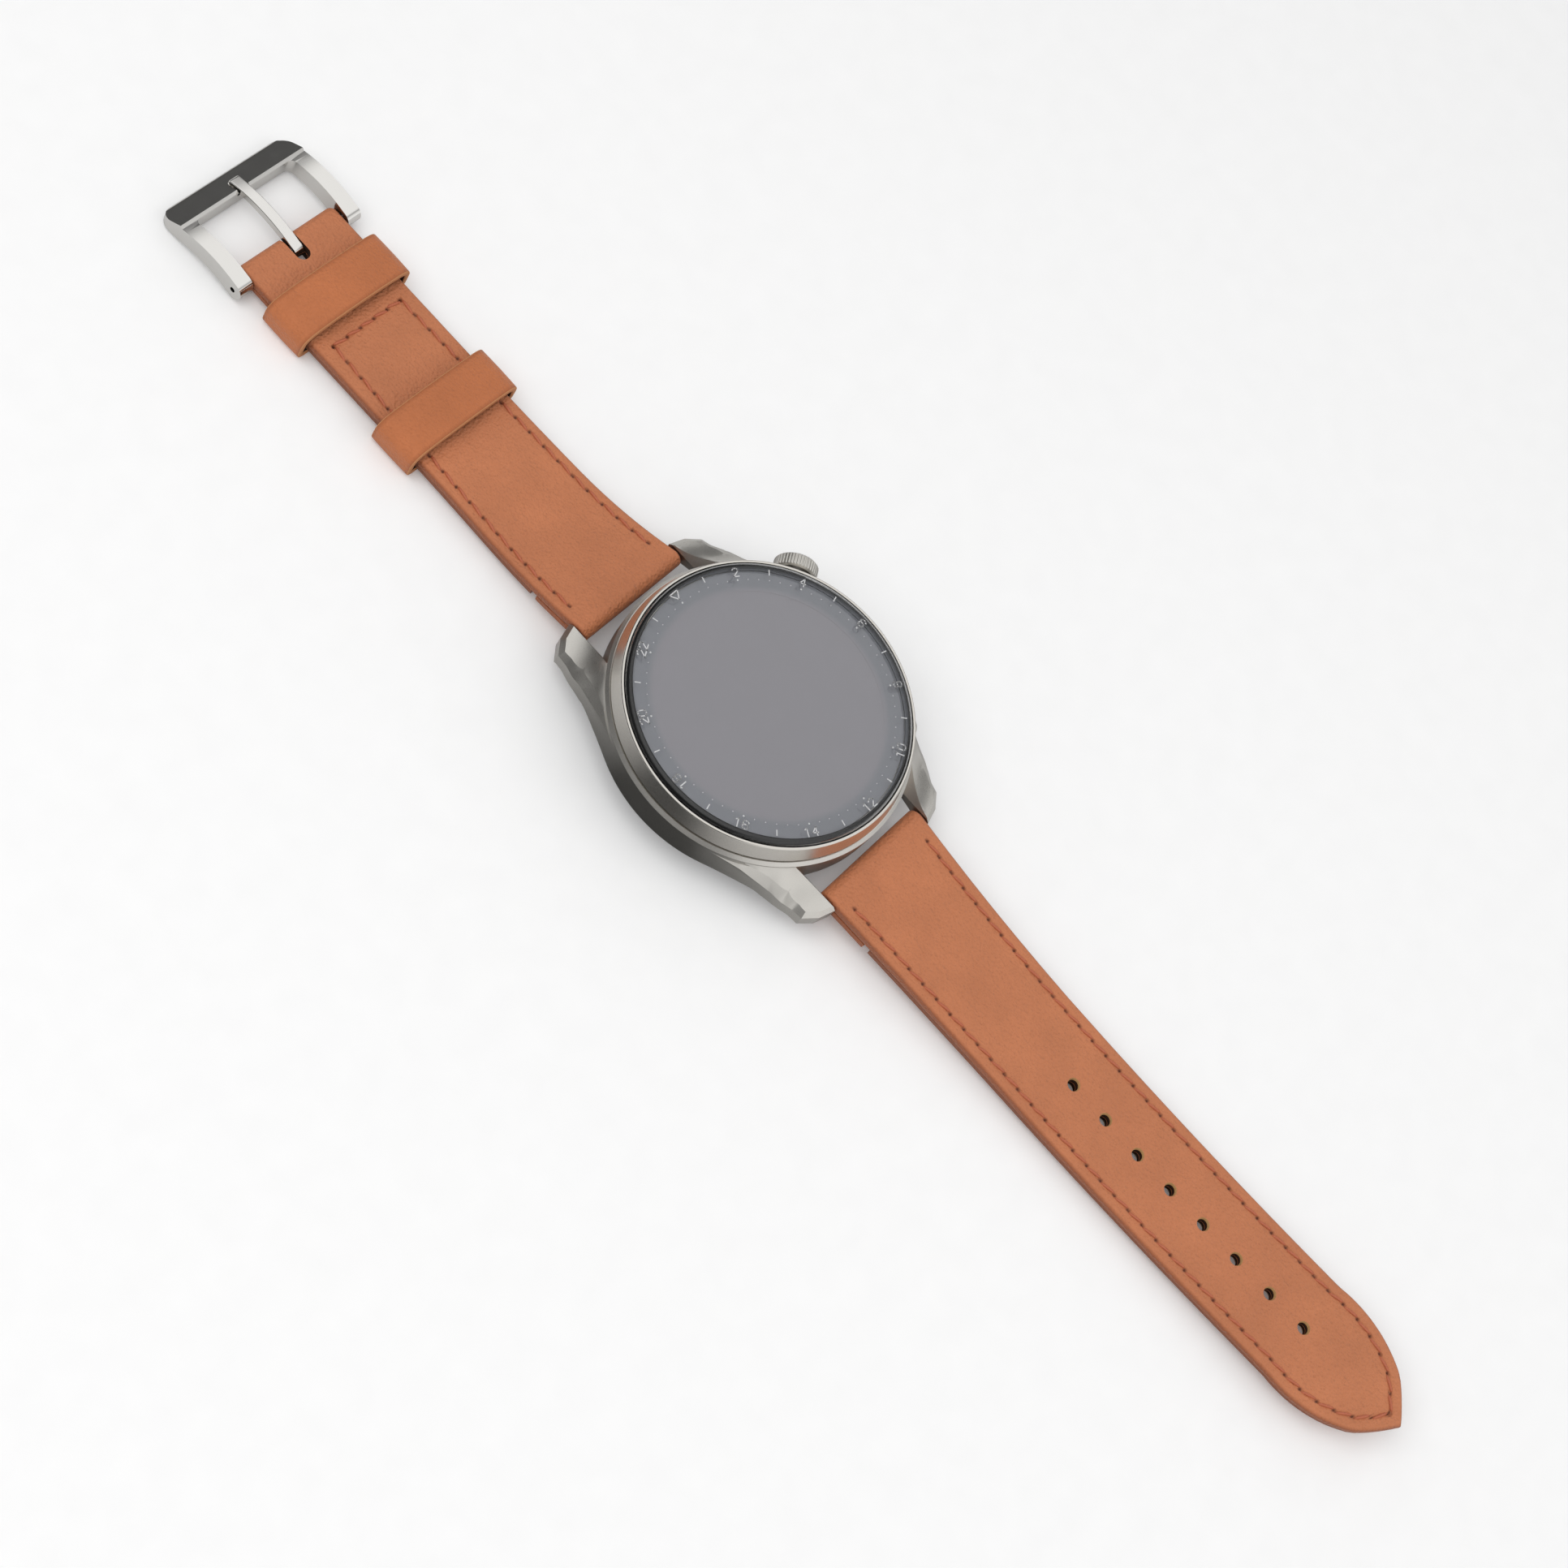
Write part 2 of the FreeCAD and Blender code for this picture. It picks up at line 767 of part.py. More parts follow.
def back_pieces():
    """Sensor window, its board and sensors, the charging coil, the back gasket and the back screws."""
    radius = dim("window_radius")
    body = new_body("sensor_window")
    revolve(body, "window_turned", [
        (0, 0),
        (dim("window_flat"), 0),
        Via(12.0, 0.545),
        (radius, 1.1),
        (radius, 1.9),
        (0, 1.9),
    ])
    hoop("charge_coil", 13.6, 18.4, 3.05, 3.6)
    hoop("back_gasket", 21.55, 21.95, dim("case_bottom") + 0.05, dim("case_bottom") + 0.5)
    finished(cylinder("sensor_disc", 11.8, 0.6, (0, 0, 2.95)), "sensor_board")
    sensors = [box("emitter", 3.0, 3.0, 0.9, (0, 0, 2.0))]
    for index in range(4):
        angle = math.radians(45 + 90 * index)
        spot = (7.0 * math.cos(angle), 7.0 * math.sin(angle))
        sensors.append(box(f"photodiode_{index}", 3.2, 3.2, 0.9, (*spot, 2.0)))
    finished(group("sensor_group", *sensors), "optical_sensors")
    across, along = screw_spot()
    seat = dim("case_bottom") - 0.4
    screws = []
    for index, (side, end) in enumerate(QUADRANTS):
        spot = (across * side, along * end)
        shank = cylinder(f"back_shank_{index}", dim("screw_radius"), 3.0, (*spot, seat))
        head = cylinder(f"back_head_{index}", dim("screw_head"), 0.4, (*spot, seat - 0.4))
        screws.append(fuse(f"back_screw_{index}", shank, head))
    finished(group("back_screw_group", *screws), "back_screws")


# ---------------------------------------------------------------- crown and side button


def crown():
    """Knurled cap on a sealed stem, guided in a pressed tube and driving an encoder wheel."""
    angle = SIZES["control_angle"]
    inner = dim("crown_in")
    outer = dim("crown_out")
    radius = dim("crown_radius")
    stem = dim("shaft_radius")
    cap = radial_turned("crown_cap", angle, [
        (inner + 0.85, 0),
        (inner + 0.85, stem),
        (inner, stem),
        (inner, radius - 0.35),
        (inner + 0.3, radius),
        (outer - 0.4, radius),
        (outer - 0.15, radius - 0.25),
        (outer - 0.15, radius - 0.9),
        (outer, radius - 1.1),
        (outer, 0),
    ])
    groove = cut_through(cap, "YZ_Plane", "knurl", Circle(0, radius + 0.08, 0.18))
    ring_of(cap, "knurls", groove, "X_Axis", KNURLS)
    groove_floor = 0.75
    shaft = radial_turned("crown_shaft", angle, [
        (dim("shaft_end"), 0),
        (dim("shaft_end"), stem),
        (20.53, stem),
        (20.53, groove_floor),
        (20.82, groove_floor),
        (20.82, stem),
        (22.2, stem),
        (22.2, groove_floor),
        (22.55, groove_floor),
        (22.55, stem),
        (23.2, stem),
        (23.2, groove_floor),
        (23.55, groove_floor),
        (23.55, stem),
        (inner + 0.85, stem),
        (inner + 0.85, 0),
    ])
    clip_groove = 20.53
    flat_side = [(18.0, 0.7), (clip_groove, 0.7), (clip_groove, 1.3), (18.0, 1.3)]
    cut_through(shaft, "XZ_Plane", "drive_flat", flat_side)
    bore = stem + dim("running_gap")
    tube = dim("tube_radius")
    radial_turned("crown_tube", angle, [(21.0, bore), (21.0, tube), (24.2, tube), (24.2, bore)])
    radial_turned("crown_clip", angle, [(20.56, 0.77), (20.56, 1.5), (20.79, 1.5), (20.79, 0.77)])
    seals = []
    for index, distance in enumerate((22.375, 23.375)):
        seals.append(radial_ring(f"crown_seal_{index}", 0.9, 0.14, distance, angle))
    finished(group("crown_seal_group", *seals), "crown_seals")
    encoder_wheel(angle, bore)


def radial_ring(name, ring, section, distance, angle):
    """A torus round a radial axis of the case."""
    item = doc.addObject("Part::Torus", name)
    bind(item, "Radius1", ring)
    bind(item, "Radius2", section)
    lay = FreeCAD.Rotation(FreeCAD.Vector(0, 1, 0), 90)
    turn = FreeCAD.Rotation(FreeCAD.Vector(0, 0, 1), angle)
    base = turn.multVec(FreeCAD.Vector(distance, 0, SIZES["control_z"]))
    item.Placement = FreeCAD.Placement(base, turn.multiply(lay))
    return item


def encoder_wheel(angle, bore):
    """Toothed wheel that the shaft's flat turns and can slide through."""
    body = new_body("crown_encoder")
    flat_height = 0.74
    half = round(math.sqrt(bore.number ** 2 - flat_height ** 2), 5)
    drive = [(-half, flat_height), Via(0, -bore), (half, flat_height)]
    sketch = radial_sketch(body, "wheel_sketch", 0, 18.95, Circle(0, 0, 2.4), drive)
    feature(body, "PartDesign::Pad", "wheel", sketch, Length=1.2)
    tooth = cut_through(body, "YZ_Plane", "tooth_gap", Circle(0, 2.45, 0.2))
    ring_of(body, "tooth_gaps", tooth, "X_Axis", ENCODER_TEETH)
    place(body, 0, 0, dim("control_z"), angle)


def switch(label, angle, distance, deep, dome):
    """Surface switch: a square body with a round plunger facing out."""
    body = new_body(label)
    outline = [(-2.0, -1.6), (2.0, -1.6), (2.0, 1.6), (-2.0, 1.6)]
    case = radial_sketch(body, "case_sketch", 0, distance, outline)
    feature(body, "PartDesign::Pad", "case", case, Length=deep)
    plunger = radial_sketch(body, "plunger_sketch", 0, distance, Circle(0, 0, 0.9))
    feature(body, "PartDesign::Pad", "plunger", plunger, Length=dome)
    place(body, 0, 0, dim("control_z"), angle)


def side_button():
    """Flush stadium button on a stem, with its clip and seal."""
    angle = -SIZES["control_angle"]
    stem = dim("stem_radius")
    body = new_body("side_button")
    outline = stadium(as_size(0), dim("button_half"), dim("button_round"))
    sketch = radial_sketch(body, "cap_sketch", 0, 23.15, outline)
    feature(body, "PartDesign::Pad", "cap", sketch, Length=1.55)
    soften(body, "cap_edge", "Fillet", as_size(0.3), lambda edge: edge.BoundBox.XMin > 24.6)
    spin(body, "stem", [
        (19.9, 0),
        (19.9, stem),
        (20.6, stem),
        (20.6, 0.5),
        (20.9, 0.5),
        (20.9, stem),
        (23.3, stem),
        (23.3, 0),
    ])
    place(body, 0, 0, dim("control_z"), angle)
    radial_turned("side_button_clip", angle, [(20.62, 0.52), (20.62, 1.5), (20.88, 1.5), (20.88, 0.52)])
    bore = stem + 0.06
    radial_turned("side_button_seal", angle, [(21.3, bore), (21.3, 1.45), (21.94, 1.45), (21.94, bore)])


# ---------------------------------------------------------------- spring bars


def bar_body(label, y, z, turn):
    body = new_body(label)
    return place(body, 0, y, z, turn)


def coil(body, first, last, wire, mean):
    """Close-fitting compression spring along X."""
    sketch = add_sketch(body, "XZ_Plane", "wire_sketch", Circle(first, mean, wire))
    feature(
        body,
        "PartDesign::AdditiveHelix",
        "coil",
        sketch,
        ReferenceAxis=(sketch, ["H_Axis"]),
        Mode="pitch-turns-angle",
        Pitch=(last - first) / SPRING_TURNS,
        Turns=SPRING_TURNS,
    )


def lug_bar(prefix, side):
    """Quick-release spring bar: tube, one fixed tip, one sprung pin with a finger lever, one spring."""
    turn = 0.0 if side > 0 else 180.0
    y = dim("bar_y") * side
    z = dim("bar_z")
    half = dim("bar_half")
    inner = dim("bar_inner")
    tip = dim("tip_radius")
    end = dim("tip_end")
    tube = bar_body(f"{prefix}_bar_tube", y, z, turn)
    outer = dim("bar_radius")
    spin(tube, "tube", [(-half, inner), (-half, outer), (half, outer), (half, inner)])
    opening = [(-8.05, -0.42), (-5.5, -0.42), (-5.5, 0.42), (-8.05, 0.42)]
    slot = add_sketch(tube, "XY_Plane", "lever_slot_sketch", opening)
    feature(tube, "PartDesign::Pocket", "lever_slot", slot, Length=2.0)
    fixed = bar_body(f"{prefix}_bar_fixed_tip", y, z, turn)
    spin(fixed, "plug", [
        (6.0, 0),
        (6.0, inner),
        (half, inner),
        (half, tip),
        (end - 0.15, tip),
        (end, tip - 0.15),
        (end, 0),
    ])
    pin = bar_body(f"{prefix}_release_pin", y, z, turn)
    shank = dim("shank_radius")
    spin(pin, "pin", [
        (-end, 0),
        (-end, tip - 0.15),
        (-end + 0.15, tip),
        (-half - 0.3, tip),
        (-half - 0.3, shank),
        (-4.8, shank),
        (-4.8, 0),
    ])
    lever = add_sketch(pin, "XY_Plane", "lever_sketch", Circle(-7.5, 0, 0.36))
    feature(pin, "PartDesign::Pad", "lever", lever, Length=2.1, Reversed=True)
    spring = bar_body(f"{prefix}_bar_spring", y, z, turn)
    coil(spring, -4.65, 5.85, 0.08, 0.34)


def buckle_bar():
    """Plain spring bar of the buckle: tube, spring and two sprung tips."""
    y = dim("buckle_y")
    z = dim("buckle_z")
    half = as_size(9.6)
    inner = dim("bar_inner")
    outer = dim("bar_radius")
    tube = bar_body("buckle_bar_tube", y, z, 0)
    spin(tube, "tube", [(-half, inner), (-half, outer), (half, outer), (half, inner)])
    spring = bar_body("buckle_bar_spring", y, z, 0)
    coil(spring, -5.35, 5.35, 0.08, 0.34)
    tip = dim("tip_radius")
    shank = dim("shank_radius")
    end = dim("buckle_half") - 0.95
    for name, turn in (("right", 0.0), ("left", 180.0)):
        body = bar_body(f"buckle_tip_{name}", y, z, turn)
        spin(body, "tip", [(5.5, 0), (5.5, shank), (half, shank), (half, tip), (end, tip), (end, 0)])


# ---------------------------------------------------------------- leather strap


class Bow:
    """A circular arc in the strap's side view, through three points."""

    def __init__(self, first, middle, last):
        self.first = first
        self.middle = middle
        self.last = last
        arc = Part.Arc(flat(*first), flat(*middle), flat(*last)).toShape().Curve
        self.centre = arc.Center
        self.radius = arc.Radius

    def height(self, along):
        """Height of the arc's lower branch, the one that sags like a strap."""
        return self.centre.y - math.sqrt(self.radius ** 2 - (along - self.centre.x) ** 2)

    def via(self, first, last):
        along = (first + last) / 2
        return Via(along, self.height(along))


ROLL_TOP = (26.8, 6.668)
ROLL_BOTTOM = (26.6, 3.433)
ROLL_FACE = Via(26.7 - 1.62, 5.05)
TAIL = 36.0
JOIN = 46.0
LINING_END = 90.0


def between(upper, lower, along):
    """Height of the seam between the two leather layers."""
    return 0.45 * upper.height(along) + 0.55 * lower.height(along)


def wrap_bore(y, z):
    return Circle(y, z, dim("wrap_bore"))


def trim_strap(body, inset, tip):
    """Cut the strap's plan outline: taper from the lugs, then the given end."""
    lug = dim("strap_lug_half") - inset
    half = dim("strap_half") - inset
    side = [(lug, 22.0), (lug, 27.0), Via(10.12 - inset, 40.0), (half, 62.0)]
    trim = cut_through(body, "XY_Plane", "outline", side + tip(half, inset) + [(16.0, 22.0)])
    mirror(body, "outline_left", trim, "YZ_Plane")


def pointed_end(half, inset):
    """Round shoulders running into a pointed tip."""
    tip = dim("long_tip") - inset
    return [
        (half, 120.0),
        Via(8.95 - inset, 128.9),
        (6.0 - inset, 135.0),
        Via(3.2 - inset * 0.7, 137.35 - inset * 0.7),
        (0, tip),
        (0, 145.0),
        (16.0, 145.0),
    ]


def square_end(half, inset):
    """Straight end with rounded corners at the buckle."""
    end = dim("short_end")
    corner = 1.2
    bend = corner * (1 - math.sqrt(0.5))
    return [
        (half, end - corner),
        Via(half - bend, end - bend),
        (half - corner, end),
        (0, end),
        (0, 106.0),
        (16.0, 106.0),
    ]


def lever_notch(body):
    """Opening under the rolled end for the quick-release lever."""
    outline = [(-8.4, 25.75), (-5.2, 25.75), (-5.2, 27.65), (-8.4, 27.65)]
    sketch = add_sketch(body, "XY_Plane", "lever_notch_sketch", outline)
    feature(body, "PartDesign::Pocket", "lever_notch", sketch, Length=dim("bar_z"), Reversed=True)


def punch_holes(body):
    hole = cut_through(body, "XY_Plane", "hole", Circle(0, dim("hole_first"), dim("hole_radius")))
    row_of(body, "holes", hole, "Y_Axis", HOLES, dim("hole_pitch"))


def long_strap():
    """Strap piece with the holes: the top leather rolls round the bar, tucks under and meets the lining."""
    tip = SIZES["long_tip"]
    upper = Bow(ROLL_TOP, (84.0, 3.55), (tip, 6.3))
    lower = Bow(ROLL_BOTTOM, (84.0, 1.1), (tip, 4.1))
    seam_tip = between(upper, lower, tip)
    seam_tail = between(upper, lower, TAIL)
    seam_via = Via(86.0, between(upper, lower, 86.0))
    bore = wrap_bore(dim("bar_y"), dim("bar_z"))
    top = new_body("long_strap_top")
    pad_both(top, "YZ_Plane", "leather", 28.0, [
        ROLL_TOP,
        upper.via(ROLL_TOP[0], tip),
        (tip, upper.height(tip)),
        (tip, seam_tip),
        seam_via,
        (TAIL, seam_tail),
        (TAIL, lower.height(TAIL)),
        lower.via(ROLL_BOTTOM[0], TAIL),
        ROLL_BOTTOM,
        ROLL_FACE,
    ], bore)
    lining = new_body("long_strap_lining")
    start = TAIL + 0.1
    pad_both(lining, "YZ_Plane", "leather", 28.0, [
        (start, seam_tail - 0.02),
        Via(86.0, between(upper, lower, 86.0) - 0.02),
        (tip, seam_tip - 0.02),
        (tip, lower.height(tip)),
        lower.via(start, tip),
        (start, lower.height(start)),
    ])
    for body, inset in ((top, 0.0), (lining, SIZES["leather_edge"])):
        trim_strap(body, inset, pointed_end)
        punch_holes(body)
        place(body, turn=180.0)
    lever_notch(top)


def short_strap():
    """Strap piece with the buckle: its top leather is rolled round a bar at both ends."""
    high = SIZES["short_top"]
    low = SIZES["short_bottom"]
    end = SIZES["short_end"]
    upper = Bow(ROLL_TOP, (36.0, 4.417), (JOIN, high))
    lower = Bow(ROLL_BOTTOM, (36.0, 1.675), (JOIN, low))
    seam = between(upper, lower, JOIN)
    seam_tail = between(upper, lower, TAIL)
    bend = (high - low) / 2
    top = new_body("short_strap_top")
    pad_both(top, "YZ_Plane", "leather", 28.0, [
        ROLL_TOP,
        upper.via(ROLL_TOP[0], JOIN),
        (JOIN, dim("short_top")),
        (end - bend, dim("short_top")),
        Via(end, low + bend),
        (end - bend, dim("short_bottom")),
        (LINING_END, dim("short_bottom")),
        (LINING_END, seam),
        (JOIN, seam),
        Via(41.0, between(upper, lower, 41.0)),
        (TAIL, seam_tail),
        (TAIL, lower.height(TAIL)),
        lower.via(ROLL_BOTTOM[0], TAIL),
        ROLL_BOTTOM,
        ROLL_FACE,
    ], wrap_bore(dim("bar_y"), dim("bar_z")), wrap_bore(dim("buckle_y"), dim("buckle_z")))
    lining = new_body("short_strap_lining")
    start = TAIL + 0.1
    pad_both(lining, "YZ_Plane", "leather", 28.0, [
        (start, seam_tail - 0.04),
        Via(41.0, between(upper, lower, 41.0) - 0.02),
        (JOIN, seam - 0.02),
        (LINING_END - 0.1, seam - 0.02),
        (LINING_END - 0.1, dim("short_bottom")),
        (JOIN, dim("short_bottom")),
        lower.via(start, JOIN),
        (start, lower.height(start)),
    ])
    trim_strap(top, 0.0, square_end)
    trim_strap(lining, SIZES["leather_edge"], square_end)
    slot = dim("slot_half")
    round_start = dim("slot_y") + slot.number
    cut_through(top, "XY_Plane", "tongue_slot", [
        (-slot, 104.0),
        (-slot, round_start),
        Via(0, dim("slot_y")),
        (slot, round_start),
        (slot, 104.0),
    ])
    lever_notch(top)


def keeper(label, along):
    """Flattened leather loop with a gently arched top."""
    half = dim("keeper_half")
    wall = dim("keeper_wall")
    top = dim("keeper_top")
    inner = half - wall - 0.05
    body = new_body(label)
    outer_path = symmetric_loop([
        (half - 1.6, 0),
        Via(half - 0.4, 0.4),
        (half, 1.6),
        (half, top - 2.0),
        Via(half - 0.55, top - 0.85),
        (half - 2.2, top - 0.35),
    ], top)
    inner_path = symmetric_loop([
        (inner - 0.35, wall),
        Via(inner - 0.1, wall + 0.1),
        (inner, wall + 0.35),
        (inner, top - 2.1),
        Via(inner - 0.35, top - 1.5),
        (inner - 1.2, top - 1.25),
    ], top - wall)
    pad(body, "XZ_Plane", "loop", dim("keeper_long"), outer_path, inner_path, Reversed=True)
    place(body, 0, along, 0)


def symmetric_loop(right, crest):
    """Close a right-hand outline with its mirror image through an arched crest."""
    left = []
    for step in reversed(right):
        if isinstance(step, Via):
            left.append(Via(-step.across, step.up))
        else:
            left.append((-as_size(step[0]), step[1]))
    return right + [Via(0, crest)] + left


# ---------------------------------------------------------------- buckle


def buckle_frame():
    """One-piece tang buckle: two bowed arms and a sloping end bar with a notch for the tongue."""
    body = new_body("buckle_frame")
    y = dim("buckle_y")
    z = dim("buckle_z")
    eye = 1.7
    inner_end = dim("window_end")
    end = dim("buckle_end")
    pad_both(body, "YZ_Plane", "side_view", dim("buckle_half") * 2, [
        (y, z + eye),
        Via(104.4, 4.6),
        (inner_end, 3.55),
        (inner_end + 0.45, 3.9),
        (end - 0.7, 1.75),
        Via(end - 0.12, 1.35),
        (end, 0.9),
        Via(end - 0.25, 0.35),
        (end - 0.9, 0.15),
        (inner_end, 0.6),
        Via(104.4, 1.5),
        (y, z - eye),
        Via(y - eye, z),
    ])
    window = dim("window_half")
    corner = 1.0
    bend = corner * (1 - math.sqrt(0.5))
    cut_through(body, "XY_Plane", "window", [
        (-window, 92.0),
        (window, 92.0),
        (window, inner_end - corner),
        Via(window - bend, inner_end - bend),
        (window - corner, inner_end),
        (-window + corner, inner_end),
        Via(-window + bend, inner_end - bend),
        (-window, inner_end - corner),
    ])
    half = dim("buckle_half")
    rounding = cut_through(body, "XY_Plane", "corner", [
        (half, end - 2.8),
        Via(half - 0.75, end - 0.75),
        (half - 2.8, end),
        (half - 2.8, end + 0.5),
        (half + 0.5, end + 0.5),
        (half + 0.5, end - 2.8),
    ])
    mirror(body, "corner_left", rounding, "YZ_Plane")
    cut_through(body, "YZ_Plane", "bar_holes", Circle(y, z, dim("bar_hole")))
    groove = dim("tongue_half").number + 0.25
    rest = 2.65
    notch = add_sketch(body, "XY_Plane", "notch_sketch", [
        (-groove, 108.0),
        (groove, 108.0),
        (groove, 111.5),
        Via(0, 111.5 + groove),
        (-groove, 111.5),
    ])
    notch.AttachmentOffset = FreeCAD.Placement(FreeCAD.Vector(0, 0, rest), FreeCAD.Rotation())
    feature(body, "PartDesign::Pocket", "notch", notch, Type="ThroughAll", Reversed=True)


def buckle_tongue():
    """Rounded prong on a loop that turns on the buckle's spring bar."""
    body = new_body("buckle_tongue")
    y = SIZES["buckle_y"]
    z = SIZES["buckle_z"]
    loop = 1.45
    lean = math.radians(20)
    low = math.radians(215)
    pad_both(body, "YZ_Plane", "side_view", dim("tongue_half") * 2, [
        (y, z + loop),
        Via(105.6, 4.7),
        (111.9, 3.75),
        Via(112.35, 3.25),
        (111.9, 2.75),
        Via(106.0, 3.35),
        (y + loop * math.cos(lean), z + loop * math.sin(lean)),
        Via(y + loop * math.cos(low), z + loop * math.sin(low)),
    ], Circle(dim("buckle_y"), dim("buckle_z"), dim("wrap_bore")))


# ---------------------------------------------------------------- build and write


def build():
    middle_case()
    bezel_ring()
    cover_glass()
    display_stack()
    inner_frame()
    main_board()
    board_pieces()
    back_cover()
    back_pieces()
    crown()
    switch("crown_switch", SIZES["control_angle"], 15.8, 1.5, 1.95)
    side_button()
    switch("button_switch", -SIZES["control_angle"], 17.3, 1.55, 2.0)
    long_strap()
    short_strap()
    lug_bar("long", -1)
    lug_bar("short", 1)
    keeper("free_keeper", dim("free_keeper_y"))
    keeper("fixed_keeper", dim("fixed_keeper_y"))
    buckle_frame()
    buckle_tongue()
    buckle_bar()


def check_document():
    """Stop if any object failed or any piece has no valid solid."""
    for item in doc.Objects:
        if "Invalid" in item.State or "Error" in item.State:
            raise RuntimeError(f"{item.Label} failed: {item.State}")
    for item in parts:
        if item.Shape.isNull() or not item.Shape.isValid() or not item.Shape.Solids:
            raise RuntimeError(f"{item.Label} has no valid solid")


def write_parts():
    os.makedirs("parts", exist_ok=True)
    for item in parts:
        item.Shape.exportStep(os.path.join("parts", item.Label + ".step"))


fill_sheet()
build()
doc.recompute()
check_document()
write_parts()
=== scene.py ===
import json
import math
from contextlib import contextmanager

import bmesh
import bpy
import numpy as np
from mathutils import Matrix, Vector
from mathutils.bvhtree import BVHTree


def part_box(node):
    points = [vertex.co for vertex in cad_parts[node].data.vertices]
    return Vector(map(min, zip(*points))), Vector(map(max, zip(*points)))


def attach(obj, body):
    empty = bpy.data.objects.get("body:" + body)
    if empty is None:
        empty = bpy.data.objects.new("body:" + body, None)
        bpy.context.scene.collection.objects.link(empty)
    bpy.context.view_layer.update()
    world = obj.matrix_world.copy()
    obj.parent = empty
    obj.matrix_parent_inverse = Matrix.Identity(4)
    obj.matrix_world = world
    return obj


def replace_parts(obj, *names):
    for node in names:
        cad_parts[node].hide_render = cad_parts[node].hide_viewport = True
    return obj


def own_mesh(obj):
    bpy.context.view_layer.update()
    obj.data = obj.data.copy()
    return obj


# Looks of the smartwatch. Metres, in the CAD frame: +Z out of the glass, +Y to 12 o'clock, +X to 3 o'clock.

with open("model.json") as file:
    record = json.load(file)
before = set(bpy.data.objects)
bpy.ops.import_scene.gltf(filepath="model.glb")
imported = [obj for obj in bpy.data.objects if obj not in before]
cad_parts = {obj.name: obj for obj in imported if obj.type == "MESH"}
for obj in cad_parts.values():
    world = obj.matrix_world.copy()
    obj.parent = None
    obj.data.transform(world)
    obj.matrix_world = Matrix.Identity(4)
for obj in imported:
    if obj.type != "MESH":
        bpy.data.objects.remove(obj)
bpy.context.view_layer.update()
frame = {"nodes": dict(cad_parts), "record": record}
NODES = frame["nodes"]
MM = 0.001

# The strap's openings, in the sizes that part.py gives them.
HOLE_FIRST = 71.05 * MM
HOLE_PITCH = 6.95 * MM
HOLE_COUNT = 8
HOLE_RADIUS = 0.9 * MM
SLOT_INNER_END = 95.8 * MM
SLOT_HALF = 1.2 * MM

# Sewing: pitch, distance from the edge, ends of the rows, and the short strap's cross row.
STITCH_PITCH = 3.0 * MM
STITCH_INSET = 2.0 * MM
LONG_STITCH_START = 30.2 * MM
SHORT_STITCH_START = 30.6 * MM
CROSS_ROW = 82.7 * MM
LINING_SINK = 0.2 * MM

# Sampling: stations in a stitch, points round a bar, path step, steps near a point (in mm), and how far
# off the strap's centre line its heights are read. TAIL is where the folded-back top leather ends.
ROW_STEPS = 8
ROLL_STEPS = 14
PATH_STEP = 1.0 * MM
TIP_STEPS = (0.02, 0.1, 0.25, 0.45, 0.7, 1.0, 1.4, 1.9, 2.5, 3.2, 4.0)
RAY_ACROSS = 3.0 * MM
TAIL = 36.0 * MM

# How far a keeper's faces bulge, and half the width of the display's printed fade.
KEEPER_CROWN = 0.06 * MM
FADE_HALF = 0.5 * MM

# Strokes of the numerals, on a grid four units wide and six tall.
DIGITS = {
    "0": [[(0, 1), (0, 5), (1, 6), (3, 6), (4, 5), (4, 1), (3, 0), (1, 0), (0, 1)]],
    "1": [[(0.6, 5), (2, 6), (2, 0)]],
    "2": [[(0, 5), (1, 6), (3, 6), (4, 5), (4, 4), (0, 0), (4, 0)]],
    "4": [[(3, 0), (3, 6), (0, 2), (4, 2)]],
    "6": [[(4, 5), (3, 6), (1, 6), (0, 5), (0, 1), (1, 0), (3, 0), (4, 1), (4, 2.4), (3, 3.3), (0, 3.3)]],
    "8": [
        [(1, 0), (0, 1), (0, 2.2), (1, 3.2), (0, 4.1), (0, 5), (1, 6), (3, 6), (4, 5), (4, 4.1), (3, 3.2)],
        [(1, 3.2), (3, 3.2), (4, 2.2), (4, 1), (3, 0), (1, 0)],
    ],
}


# ---------------- reading the frame


def tree_of(*names):
    """A ray-casting tree over some CAD nodes."""
    points = []
    faces = []
    for name in names:
        mesh = NODES[name].data
        start = len(points)
        points += [vertex.co.copy() for vertex in mesh.vertices]
        faces += [[start + index for index in face.vertices] for face in mesh.polygons]
    return BVHTree.FromPolygons(points, faces)


def middle(node):
    low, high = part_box(node)
    return (low + high) / 2


# ---------------- small mesh helpers


def linked(name, data, materials=()):
    """A new object in the scene, with its materials."""
    item = bpy.data.objects.new(name, data)
    bpy.context.scene.collection.objects.link(item)
    for material in materials:
        data.materials.append(material)
    return item


def add_object(name, mesh, body, materials):
    """A new piece that rides on its body."""
    item = linked(name, mesh, materials)
    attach(item, body)
    return item


def mesh_from(name, points, faces, smooth=True):
    mesh = bpy.data.meshes.new(name)
    mesh.from_pydata([tuple(point) for point in points], [], faces)
    mesh.validate()
    mesh.polygons.foreach_set("use_smooth", [smooth] * len(mesh.polygons))
    return mesh


@contextmanager
def edited(mesh):
    """The mesh as a bmesh, written back at the end."""
    work = bmesh.new()
    work.from_mesh(mesh)
    yield work
    work.to_mesh(mesh)
    work.free()


